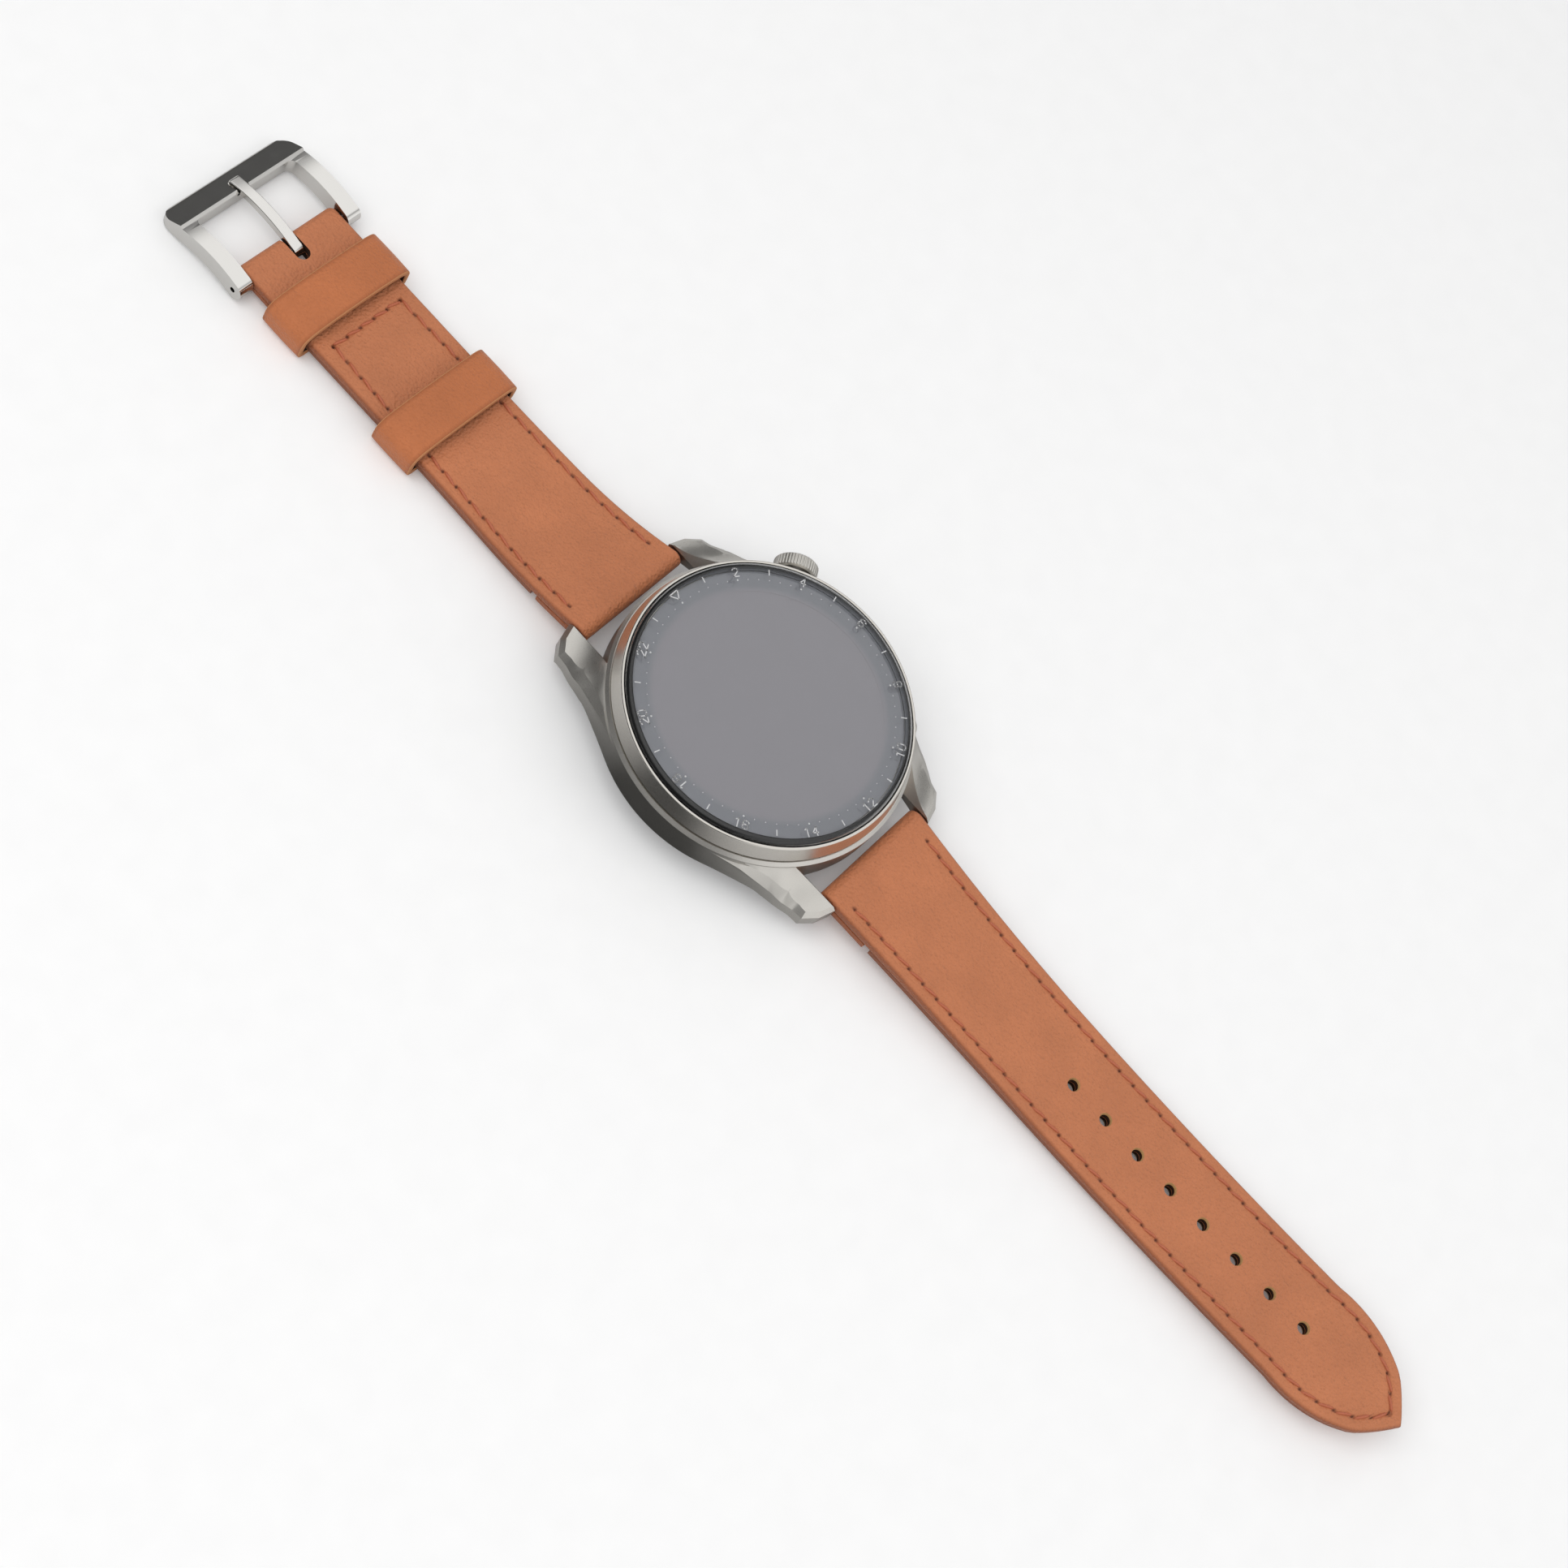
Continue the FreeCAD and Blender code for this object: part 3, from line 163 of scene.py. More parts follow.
def tidy_mesh(mesh, merge=1e-7):
    """Merge doubled points and turn every face outwards."""
    with edited(mesh) as work:
        bmesh.ops.remove_doubles(work, verts=work.verts, dist=merge)
        bmesh.ops.dissolve_degenerate(work, edges=work.edges, dist=merge)
        bmesh.ops.recalc_face_normals(work, faces=work.faces)
    mesh.update()


def grid_faces(rows, width, start=0, closed=False):
    """Faces between rows of width points each, round each row and, if closed, back to the first row."""
    faces = []
    for row in range(rows if closed else rows - 1):
        here = start + row * width
        there = start + (row + 1) % rows * width
        for column in range(width):
            after = (column + 1) % width
            faces.append((here + column, here + after, there + after, there + column))
    return faces


def end_caps(rows, width, start=0):
    """The two faces that close a sweep."""
    last = start + (rows - 1) * width
    return [tuple(range(start, start + width)), tuple(reversed(range(last, last + width)))]


def apply_modifiers(item):
    """Bake an object's modifiers into its mesh."""
    bpy.context.view_layer.update()
    graph = bpy.context.evaluated_depsgraph_get()
    source = item.evaluated_get(graph)
    mesh = bpy.data.meshes.new_from_object(source, preserve_all_data_layers=True, depsgraph=graph)
    item.modifiers.clear()
    item.data = mesh


def cut_with(item, cutter):
    """Subtract a closed cutter, keeping the cutter's materials on the cut faces."""
    modifier = item.modifiers.new("cut", "BOOLEAN")
    modifier.operation = "DIFFERENCE"
    modifier.solver = "EXACT"
    modifier.material_mode = "TRANSFER"
    modifier.object = cutter
    apply_modifiers(item)
    bpy.data.objects.remove(cutter)


def lathe_points(profile, centre, turns):
    """Rings of a profile of (radius, height) pairs about a vertical axis, and their faces."""
    points = []
    for radius, height in profile:
        for step in range(turns):
            angle = 2 * math.pi * step / turns
            offset = Vector((radius * math.cos(angle), radius * math.sin(angle), height))
            points.append(centre + offset)
    return points, grid_faces(len(profile), turns)


# ---------------- materials


# The colour sockets of Blender's Mix node.
MIX_COLOUR_A, MIX_COLOUR_B, MIX_COLOUR_OUT = 6, 7, 2


class Graph:
    """Short-hand for building a node tree."""

    def __init__(self, tree):
        self.tree = tree

    def add(self, kind, **values):
        node = self.tree.nodes.new(kind)
        for name, value in values.items():
            setattr(node, name, value)
        return node

    def join(self, source, target):
        self.tree.links.new(source, target)

    def put(self, target, value):
        if isinstance(value, bpy.types.NodeSocket):
            self.join(value, target)
        else:
            target.default_value = value

    def fill(self, node, **values):
        """Set or link inputs by name, with _ for each space."""
        for name, value in values.items():
            self.put(node.inputs[name.replace("_", " ")], value)

    def math(self, operation, first, second=0.0):
        node = self.add("ShaderNodeMath", operation=operation)
        self.put(node.inputs[0], first)
        self.put(node.inputs[1], second)
        return node.outputs[0]

    def ramp(self, source, low, high, start=0.0, end=1.0, **values):
        node = self.add("ShaderNodeMapRange", clamp=True, **values)
        self.fill(node, Value=source, From_Min=low, From_Max=high, To_Min=start, To_Max=end)
        return node.outputs["Result"]

    def mix(self, share, first, second):
        node = self.add("ShaderNodeMix", data_type="RGBA")
        self.fill(node, Factor=share)
        self.put(node.inputs[MIX_COLOUR_A], first)
        self.put(node.inputs[MIX_COLOUR_B], second)
        return node.outputs[MIX_COLOUR_OUT]


class Nodes(Graph):
    """Short-hand for building one node material."""

    def __init__(self, name):
        self.material = bpy.data.materials.new(name)
        self.material.use_nodes = True
        super().__init__(self.material.node_tree)
        self.tree.nodes.clear()
        self.output = self.add("ShaderNodeOutputMaterial")
        self.shader = self.add("ShaderNodeBsdfPrincipled")
        self.join(self.shader.outputs[0], self.output.inputs["Surface"])
        self.spot = self.add("ShaderNodeTexCoord").outputs["Object"]

    def finish(self, **values):
        """Fill the shader's inputs and return the material."""
        self.fill(self.shader, **values)
        return self.material

    def scaled(self, kind, size_mm, stretch, **values):
        """A texture node whose features are about size_mm across, in the watch frame."""
        mapping = self.add("ShaderNodeMapping")
        self.fill(mapping, Scale=[1.0 / (size_mm * MM) * share for share in stretch], Vector=self.spot)
        node = self.add(kind, **values)
        self.fill(node, Scale=1.0, Vector=mapping.outputs[0])
        return node

    def noise(self, size_mm, detail=4.0, rough=0.55, stretch=(1, 1, 1)):
        node = self.scaled("ShaderNodeTexNoise", size_mm, stretch)
        self.fill(node, Detail=detail, Roughness=rough)
        return node.outputs["Fac"]

    def cells(self, size_mm, feature):
        return self.scaled("ShaderNodeTexVoronoi", size_mm, (1, 1, 1), feature=feature).outputs["Distance"]

    def place(self):
        """The point's x, y and z in the watch frame."""
        split = self.add("ShaderNodeSeparateXYZ")
        self.join(self.spot, split.inputs[0])
        return split.outputs

    def radius(self):
        """The point's distance from the case axis, in millimetres."""
        spot = self.place()
        across = self.math("POWER", spot["X"], 2.0)
        along = self.math("POWER", spot["Y"], 2.0)
        return self.math("MULTIPLY", self.math("SQRT", self.math("ADD", across, along)), 1.0 / MM)

    def attribute(self, name):
        return self.add("ShaderNodeAttribute", attribute_name=name).outputs["Fac"]

    def bump(self, source, depth_mm, strength=1.0, under=None):
        node = self.add("ShaderNodeBump")
        self.fill(node, Distance=depth_mm * MM, Strength=strength, Height=source)
        if under is not None:
            self.fill(node, Normal=under)
        return node.outputs["Normal"]


def srgb(red, green, blue):
    """A linear colour from the 0-255 values a monitor shows."""

    def linear(value):
        share = value / 255
        return share / 12.92 if share <= 0.04045 else ((share + 0.055) / 1.055) ** 2.4

    return (linear(red), linear(green), linear(blue), 1.0)


def shade(colour, share):
    return tuple(min(1.0, part * share) for part in colour[:3]) + (1.0,)


DISPLAY_GREY = srgb(166, 164, 171)
RING_GREY = srgb(148, 151, 159)


def leather_material(name, colour, burnish_and_shade_colour, grain=1.0):
    """Full-grain leather: pebble grain, soft creases, burnished edges with painted shade on the strap's side
    walls, and painted shade in the stitch holes.
    """
    made = Nodes(name)
    patches = made.ramp(made.noise(9.0, 3.0), 0.3, 0.7)
    dark = shade(colour, 0.90)
    base = made.mix(patches, dark, shade(colour, 1.07))
    mottle = made.ramp(made.noise(0.8, 5.0, 0.7), 0.35, 0.65, 0.0, 0.36)
    base = made.mix(mottle, base, dark)
    # Edge colour: burnish near the cut edge of the top face, and painted shade on the side walls.
    base = made.mix(made.ramp(made.attribute("rim"), 0.25, 0.95, 0.0, 0.8), base, burnish_and_shade_colour)
    # Painted shade in the stitch holes: dark brown where the pits sink.
    base = made.mix(made.ramp(made.attribute("punch"), 0.08, 0.7, 0.0, 0.92), base, srgb(84, 36, 18))
    pebbles = made.ramp(made.cells(0.42, "SMOOTH_F1"), 0.0, 0.7)
    creases = made.noise(1.4, 6.0, 0.65, (1.0, 0.45, 1.0))
    low = made.bump(creases, 0.30, 0.9 * grain)
    relief = made.bump(pebbles, 0.13, 1.0 * grain, low)
    fine = made.bump(made.noise(0.12, 2.0), 0.012, 0.6 * grain, relief)
    return made.finish(
        Base_Color=base,
        Roughness=made.ramp(made.noise(0.5, 3.0), 0.3, 0.7, 0.46, 0.62),
        Normal=fine,
        Sheen_Weight=0.12,
        Sheen_Roughness=0.4,
        Specular_IOR_Level=0.42,
    )


def cut_edge_material(name, colour):
    """Raw cut leather: pale fibres."""
    made = Nodes(name)
    fibres = made.noise(0.15, 4.0, 0.7)
    return made.finish(
        Base_Color=made.mix(made.ramp(fibres, 0.3, 0.7), shade(colour, 0.72), colour),
        Roughness=0.85,
        Normal=made.bump(fibres, 0.05, 0.8),
    )


def thread_material():
    """Waxed thread: fine twisted strands."""
    made = Nodes("waxed_thread")
    strands = made.noise(0.14, 3.0, 0.6)
    return made.finish(
        Base_Color=made.mix(strands, srgb(160, 82, 54), srgb(206, 120, 86)),
        Roughness=0.5,
        Normal=made.bump(strands, 0.05, 0.7),
    )


def brushed_metal(name, colour, rough=0.3, stretch=(1, 1, 14), grain=0.25, depth=0.012):
    """Satin metal with fine brushing that runs across the stretched direction."""
    made = Nodes(name)
    lines = made.noise(grain, 5.0, 0.65, stretch)
    patches = made.ramp(made.noise(6.0, 2.0), 0.35, 0.65)
    return made.finish(
        Base_Color=made.mix(patches, colour, shade(colour, 1.05)),
        Metallic=1.0,
        Roughness=made.ramp(lines, 0.3, 0.7, rough - 0.05, rough + 0.07),
        Normal=made.bump(lines, depth, 0.5),
    )


def polished_metal(name, colour, rough=0.07):
    """Polished steel with faint haze and hairline wear."""
    made = Nodes(name)
    haze = made.noise(2.5, 4.0, 0.6)
    hairs = made.noise(0.3, 4.0, 0.7, (9, 1, 1))
    return made.finish(
        Base_Color=colour,
        Metallic=1.0,
        Roughness=made.ramp(haze, 0.35, 0.7, rough, rough + 0.07),
        Normal=made.bump(hairs, 0.002, 0.35),
    )


def bezel_material():
    """Satin wall, painted shade at the foot, and a narrow polished rim."""
    made = Nodes("bezel_satin")
    height = made.place()["Z"]
    rim = made.ramp(height, 14.04 * MM, 14.12 * MM)
    # Painted shade at the wall's foot: a dark band for the shadow and reflection of the lugs.
    foot_shade = made.ramp(height, 11.32 * MM, 11.45 * MM, 1.0, 0.0)
    lines = made.noise(0.22, 5.0, 0.65, (1, 1, 12))
    rough = made.mix(rim, made.ramp(lines, 0.3, 0.7, 0.24, 0.36), (0.06, 0.06, 0.06, 1))
    base = made.mix(foot_shade, srgb(214, 210, 203), srgb(70, 67, 63))
    return made.finish(Base_Color=base, Metallic=1.0, Roughness=rough, Normal=made.bump(lines, 0.01, 0.4))


def plain_surface(name, colour, rough=0.5, size=0.3, depth=0.02, metal=0.0, vary=0.12, coat=0.0):
    """A moulded, printed or coated surface with fine texture and slight unevenness."""
    made = Nodes(name)
    speck = made.noise(size, 4.0, 0.6)
    return made.finish(
        Base_Color=made.mix(made.ramp(speck, 0.3, 0.7), shade(colour, 1 - vary), shade(colour, 1 + vary)),
        Metallic=metal,
        Roughness=made.ramp(speck, 0.3, 0.7, rough * 0.85, min(1.0, rough * 1.15)),
        Normal=made.bump(speck, depth, 0.5),
        Coat_Weight=coat,
    )


def circuit_board_material():
    """Green solder mask over a faint pattern of tracks."""
    made = Nodes("solder_mask")
    tracks = made.ramp(made.cells(1.1, "F1"), 0.28, 0.32)
    speck = made.noise(0.2, 3.0)
    base = made.mix(tracks, srgb(26, 84, 50), srgb(14, 56, 34))
    relief = made.bump(made.mix(0.5, tracks, speck), 0.03, 0.5)
    return made.finish(Base_Color=base, Roughness=0.35, Normal=relief)


def glass_material():
    """Clear cover glass: a thin clean layer that mostly shows what lies under it."""
    made = Nodes("cover_glass")
    clear = made.add("ShaderNodeBsdfTransparent")
    gloss = made.add("ShaderNodeBsdfGlossy")
    smear = made.noise(7.0, 3.0)
    made.join(made.ramp(smear, 0.35, 0.7, 0.015, 0.05), gloss.inputs["Roughness"])
    fresnel = made.add("ShaderNodeFresnel")
    made.fill(fresnel, IOR=1.5)
    facing = made.add("ShaderNodeLayerWeight").outputs["Facing"]
    shallow = made.ramp(facing, 0.28, 0.52, 0.0, 0.55)
    mixed = made.add("ShaderNodeMixShader")
    made.join(made.math("MAXIMUM", fresnel.outputs[0], shallow), mixed.inputs[0])
    made.join(clear.outputs[0], mixed.inputs[1])
    made.join(gloss.outputs[0], mixed.inputs[2])
    made.join(mixed.outputs[0], made.output.inputs["Surface"])
    made.tree.nodes.remove(made.shader)
    return made.material


def sensor_glass_material():
    """Dark tinted window with faint rings over the sensors."""
    made = Nodes("sensor_glass")
    radius = made.radius()
    inner = made.math("MULTIPLY", made.ramp(radius, 8.9, 9.0), made.ramp(radius, 9.2, 9.3, 1.0, 0.0))
    haze = made.noise(3.0, 3.0)
    return made.finish(
        Base_Color=made.mix(inner, (0.012, 0.012, 0.016, 1), (0.09, 0.09, 0.10, 1)),
        Roughness=made.ramp(haze, 0.3, 0.7, 0.05, 0.12),
        Coat_Weight=1.0,
        Coat_Roughness=0.04,
    )


def fade_material(joint):
    """Grey print that runs from the display's shade to the scale ring's."""
    made = Nodes("display_fade_print")
    share = made.ramp(made.radius(), (joint - FADE_HALF) / MM, (joint + FADE_HALF) / MM)
    speck = made.noise(0.4, 2.0)
    return made.finish(
        Base_Color=made.mix(share, DISPLAY_GREY, RING_GREY),
        Roughness=made.ramp(speck, 0.3, 0.7, 0.42, 0.52),
    )


def make_materials():
    """One material for each finish; the keys are the record's slots."""
    tan = srgb(199, 124, 84)
    return {
        "titanium": brushed_metal("satin_titanium", srgb(205, 202, 196), 0.30),
        "bezel_titanium": bezel_material(),
        "polished_steel": polished_metal("polished_steel", srgb(228, 226, 222)),
        "spring_steel": brushed_metal("drawn_steel", srgb(190, 190, 192), 0.22, (14, 1, 1), 0.2),
        "cover_glass": glass_material(),
        "display": plain_surface("display_off", DISPLAY_GREY, 0.45, 6.0, 0.0005, vary=0.02),
        "scale_print": plain_surface("scale_ring_print", RING_GREY, 0.5, 2.0, 0.0005, vary=0.02),
        # Edge colours are burnish tones, dark enough to also serve as painted shade on the strap's side
        # walls.
        "leather": leather_material("tan_leather", tan, srgb(140, 76, 44)),
        "leather_lining": leather_material("lining_leather", srgb(176, 108, 74), srgb(120, 66, 40), 0.7),
        "keeper_leather": leather_material("keeper_leather", srgb(192, 114, 70), srgb(150, 82, 44), 0.85),
        "rubber": plain_surface("seal_rubber", srgb(34, 34, 35), 0.75, 0.15, 0.02),
        "black_plastic": plain_surface("moulded_plastic", srgb(38, 38, 41), 0.55, 0.25, 0.02),
        "back_ceramic": plain_surface("black_ceramic", srgb(36, 36, 39), 0.16, 0.8, 0.004, coat=0.6),
        "sensor_glass": sensor_glass_material(),
        "circuit_board": circuit_board_material(),
        "can_metal": plain_surface("tinned_can", srgb(196, 197, 199), 0.32, 0.35, 0.01, metal=1.0),
        "battery_foil": plain_surface("battery_foil", srgb(92, 93, 97), 0.38, 1.2, 0.05, metal=0.6),
        "copper": plain_surface("wound_copper", srgb(196, 122, 74), 0.35, 0.12, 0.03, metal=1.0),
        "flex_film": plain_surface("polyimide_film", srgb(190, 120, 44), 0.3, 0.5, 0.01),
    }


MATERIALS = make_materials()
# Painted shade: dark brown for the inner walls of holes, slot and notch, and for the keepers' insides.
HOLE_SHADE = plain_surface("painted_hole_shade", srgb(52, 30, 18), 0.9, 0.1, 0.02)
CUT_EDGE = cut_edge_material("cut_edge", srgb(205, 142, 96))
HOLE_EDGE = cut_edge_material("hole_edge", srgb(214, 168, 112))
THREAD = thread_material()
MARK_PRINT = plain_surface("mark_print", srgb(252, 252, 253), 0.5, 0.1, 0.001, vary=0.03)
GASKET_GREY = plain_surface("grey_adhesive", RING_GREY, 0.6, 0.4, 0.005, vary=0.03)
# Painted dark for the glass chamfer's reflection and refraction, laid as a black sheet.
GLASS_EDGE_DARK = plain_surface("painted_glass_edge_dark", srgb(10, 10, 11), 0.35, 0.3, 0.001)


def finish_cad_nodes():
    """Give every carried-over CAD node the material of its slot."""
    for part in frame["record"]["subparts"]:
        item = NODES[part["node"]]
        item.data.materials.clear()
        item.data.materials.append(MATERIALS[part["material_slot"]])
    NODES["front_gasket"].data.materials[0] = GASKET_GREY


# ---------------- softened metal pieces


def softened(node, body, width_mm, slot, segments=3, angle=28, crisp=30):
    """A copy of a CAD node with its sharp edges rounded, standing for the node."""
    mesh = NODES[node].data.copy()
    with edited(mesh) as work:
        bmesh.ops.remove_doubles(work, verts=work.verts, dist=2e-6)
        flat = math.radians(0.6)
        bmesh.ops.dissolve_limit(work, angle_limit=flat, verts=work.verts, edges=work.edges)
    mesh.materials.clear()
    item = add_object(node + "_finished", mesh, body, [MATERIALS[slot]])
    bevel = item.modifiers.new("edge", "BEVEL")
    bevel.width = width_mm * MM
    bevel.segments = segments
    bevel.limit_method = "ANGLE"
    bevel.angle_limit = math.radians(angle)
    bevel.use_clamp_overlap = True
    bevel.miter_outer = "MITER_ARC"
    apply_modifiers(item)
    item.data.polygons.foreach_set("use_smooth", [True] * len(item.data.polygons))
    item.data.set_sharp_from_angle(angle=math.radians(crisp))
    shading = item.modifiers.new("shading", "WEIGHTED_NORMAL")
    shading.keep_sharp = True
    shading.weight = 80
    apply_modifiers(item)
    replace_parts(item, node)


def straighten_lugs():
    """Fill the slight waist of each lug's flank, so that it runs straight into the case ring."""
    case_edge = 24.3 * MM
    inner_side, lug_end = 13.5 * MM, 25.5 * MM
    waist, waist_half = 21.8 * MM, 4.2 * MM
    blend, fill = 2.0 * MM, 0.75 * MM
    for vertex in bpy.data.objects["middle_case_finished"].data.vertices:
        across, along = abs(vertex.co.x), abs(vertex.co.y)
        if vertex.co.xy.length < case_edge or along > lug_end or across < inner_side:
            continue
        share = max(0.0, 1 - abs(along - waist) / waist_half)
        reach = min(1.0, (across - inner_side) / blend)
        push = fill * reach * share * share * (3 - 2 * share)
        vertex.co.x += math.copysign(push, vertex.co.x)


def make_metal_pieces():
    softened("middle_case", "head", 0.07, "titanium", angle=17, crisp=14)
    straighten_lugs()
    softened("bezel_ring", "head", 0.05, "bezel_titanium")
    softened("crown_cap", "crown", 0.05, "titanium")
    softened("side_button", "button", 0.05, "titanium")
    softened("back_cover", "head", 0.08, "back_ceramic")
    softened("buckle_frame", "buckle", 0.3, "polished_steel", 4)
    softened("buckle_tongue", "tongue", 0.3, "polished_steel", 4)


# ---------------- springs


def live_spring(node, body, joint, start, end):
    """A stretch of a bar spring, cut between two x values and capped."""
    mesh = NODES[node].data.copy()
    mesh.materials.clear()
    with edited(mesh) as work:
        for place, outward in ((start, (-1, 0, 0)), (end, (1, 0, 0))):
            geometry = work.verts[:] + work.edges[:] + work.faces[:]
            cut = bmesh.ops.bisect_plane(
                work, geom=geometry, plane_co=(place, 0, 0), plane_no=outward, clear_outer=True
            )
            edges = [part for part in cut["geom_cut"] if isinstance(part, bmesh.types.BMEdge)]
            if edges:
                bmesh.ops.holes_fill(work, edges=edges)
    mesh.polygons.foreach_set("use_smooth", [True] * len(mesh.polygons))
    item = add_object(f"{node}_{joint}", mesh, body, [MATERIALS["spring_steel"]])
    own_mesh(item)
    return item


def make_springs():
    """Bar springs: a copy for each strap's release slide, and the buckle's spring split at its middle for its
    two tips.
    """
    far = 20 * MM
    for prefix, heading in (("long", -1), ("short", 1)):
        node = prefix + "_bar_spring"
        joint = prefix + "_release_slide"
        spring = live_spring(node, prefix + "_strap", joint, -far, far)
        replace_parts(spring, node)
    node = "buckle_bar_spring"
    centre = middle(node).x
    left = live_spring(node, "short_strap", "left_tip_slide", -far, centre)
    right = live_spring(node, "short_strap", "right_tip_slide", centre, far)
    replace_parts(left, node)
    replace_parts(right, node)


# ---------------- dial scale


class Marks:
    """Flat printed marks gathered into one mesh, just under the top of the glass."""

    def __init__(self, level, thick):
        self.level = level
        self.thick = thick
        self.points = []
        self.faces = []

    def prism(self, outline):
        start = len(self.points)
        count = len(outline)
        for height in (self.level, self.level + self.thick):
            self.points += [(across, along, height) for across, along in outline]
        self.faces.append(tuple(range(start + count, start + 2 * count)))
        self.faces.append(tuple(reversed(range(start, start + count))))
        self.faces += grid_faces(2, count, start)

    def stroke(self, first, last, wide):
        """A line with flat ends that reach half a width past its points."""
        along = (last - first).normalized() * wide / 2
        side = Vector((-along.y, along.x))
        self.prism([first - along - side, last + along - side, last + along + side, first - along + side])

    def dot(self, across, along, radius):
        steps = 12
        angles = [2 * math.pi * step / steps for step in range(steps)]
        self.prism([(across + radius * math.cos(a), along + radius * math.sin(a)) for a in angles])

    def glyph(self, text, centre, turn, tall, wide):
        """A number drawn with straight strokes, centred on a point."""
        unit = tall / 6
        advance = 5.6 * unit
        start = -advance * (len(text) - 1) / 2 - 2 * unit
        spin = Matrix.Rotation(turn, 2)
        for place, figure in enumerate(text):
            for line in DIGITS[figure]:
                left = start + place * advance
                shifted = [centre + spin @ Vector((left + x * unit, (y - 3) * unit)) for x, y in line]
                for first, last in zip(shifted, shifted[1:]):
                    self.stroke(first, last, wide)


def clock_point(hours, radius):
    """A point on the 24-hour scale: clockwise from 12 o'clock."""
    angle = math.radians(90 - hours * 15)
    return Vector((radius * math.cos(angle), radius * math.sin(angle)))


def make_scale_marks():
    """24-hour scale: even numbers, ticks at odd hours, a row of dots and an open triangle."""
    _, glass_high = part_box("cover_glass")
    marks = Marks(glass_high.z - 0.06 * MM, 0.02 * MM)
    line = 0.18 * MM
    number_radius, number_tall = 20.55 * MM, 1.3 * MM
    tick_inner, tick_outer = 20.25 * MM, 21.0 * MM
    dot_circle, hour_dot, minute_dot = 19.3 * MM, 0.15 * MM, 0.075 * MM
    triangle_inner, triangle_outer, triangle_half = 20.0 * MM, 21.25 * MM, 0.85 * MM
    for hour in range(24):
        if hour % 2:
            marks.stroke(clock_point(hour, tick_inner), clock_point(hour, tick_outer), line)
            continue
        marks.dot(*clock_point(hour, dot_circle), hour_dot)
        for step in range(1, 6):
            marks.dot(*clock_point(hour + step / 3, dot_circle), minute_dot)
        if hour:
            upside_down = 7 < hour < 17
            turn = math.radians(-hour * 15 + (180 if upside_down else 0))
            marks.glyph(str(hour), clock_point(hour, number_radius), turn, number_tall, line)
    corners = [
        clock_point(0, triangle_inner),
        clock_point(0, triangle_outer) + Vector((triangle_half, 0)),
        clock_point(0, triangle_outer) - Vector((triangle_half, 0)),
    ]
    for index in range(3):
        marks.stroke(corners[index], corners[(index + 1) % 3], line)
    mesh = mesh_from("scale_marks", marks.points, marks.faces, smooth=False)
    add_object("scale_marks", mesh, "head", [MARK_PRINT])


def add_ring(name, profile, material, smooth):
    """A printed ring about the case axis."""
    points, faces = lathe_points(profile, Vector((0, 0, 0)), 180)
    mesh = mesh_from(name, points, faces, smooth)
    tidy_mesh(mesh)
    add_object(name, mesh, "head", [material])


def make_glass_border():
    """A black sheet just under the sloping edge of the glass: painted dark for the chamfer's reflection and
    refraction.
    """
    _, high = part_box("cover_glass")
    edge = high.x - 0.03 * MM
    slope = [(0.0, -0.85), (-0.07, -0.58), (-0.29, -0.32), (-0.57, -0.14), (-0.89, -0.04)]
    outside = [(edge + inset * MM, high.z + drop * MM) for inset, drop in slope]
    inside = [(radius - 0.02 * MM, height - 0.02 * MM) for radius, height in reversed(outside)]
    add_ring("glass_edge_dark", outside + inside + outside[:1], GLASS_EDGE_DARK, True)


def make_display_fade():
    """Printed fade that hides the joint between the display and the scale ring."""
    _, display_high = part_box("display_panel")
    _, ring_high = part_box("scale_ring")
    glass_low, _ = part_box("cover_glass")
    joint = display_high.x
    base = max(display_high.z, ring_high.z)
    bottom = base + 0.05 * (glass_low.z - base)
    top = base + 0.25 * (glass_low.z - base)
    inner, outer = joint - FADE_HALF, joint + FADE_HALF
    profile = [(inner, bottom), (outer, bottom), (outer, top), (inner, top), (inner, bottom)]
    add_ring("display_fade", profile, fade_material(joint), False)


# ---------------- leather strap


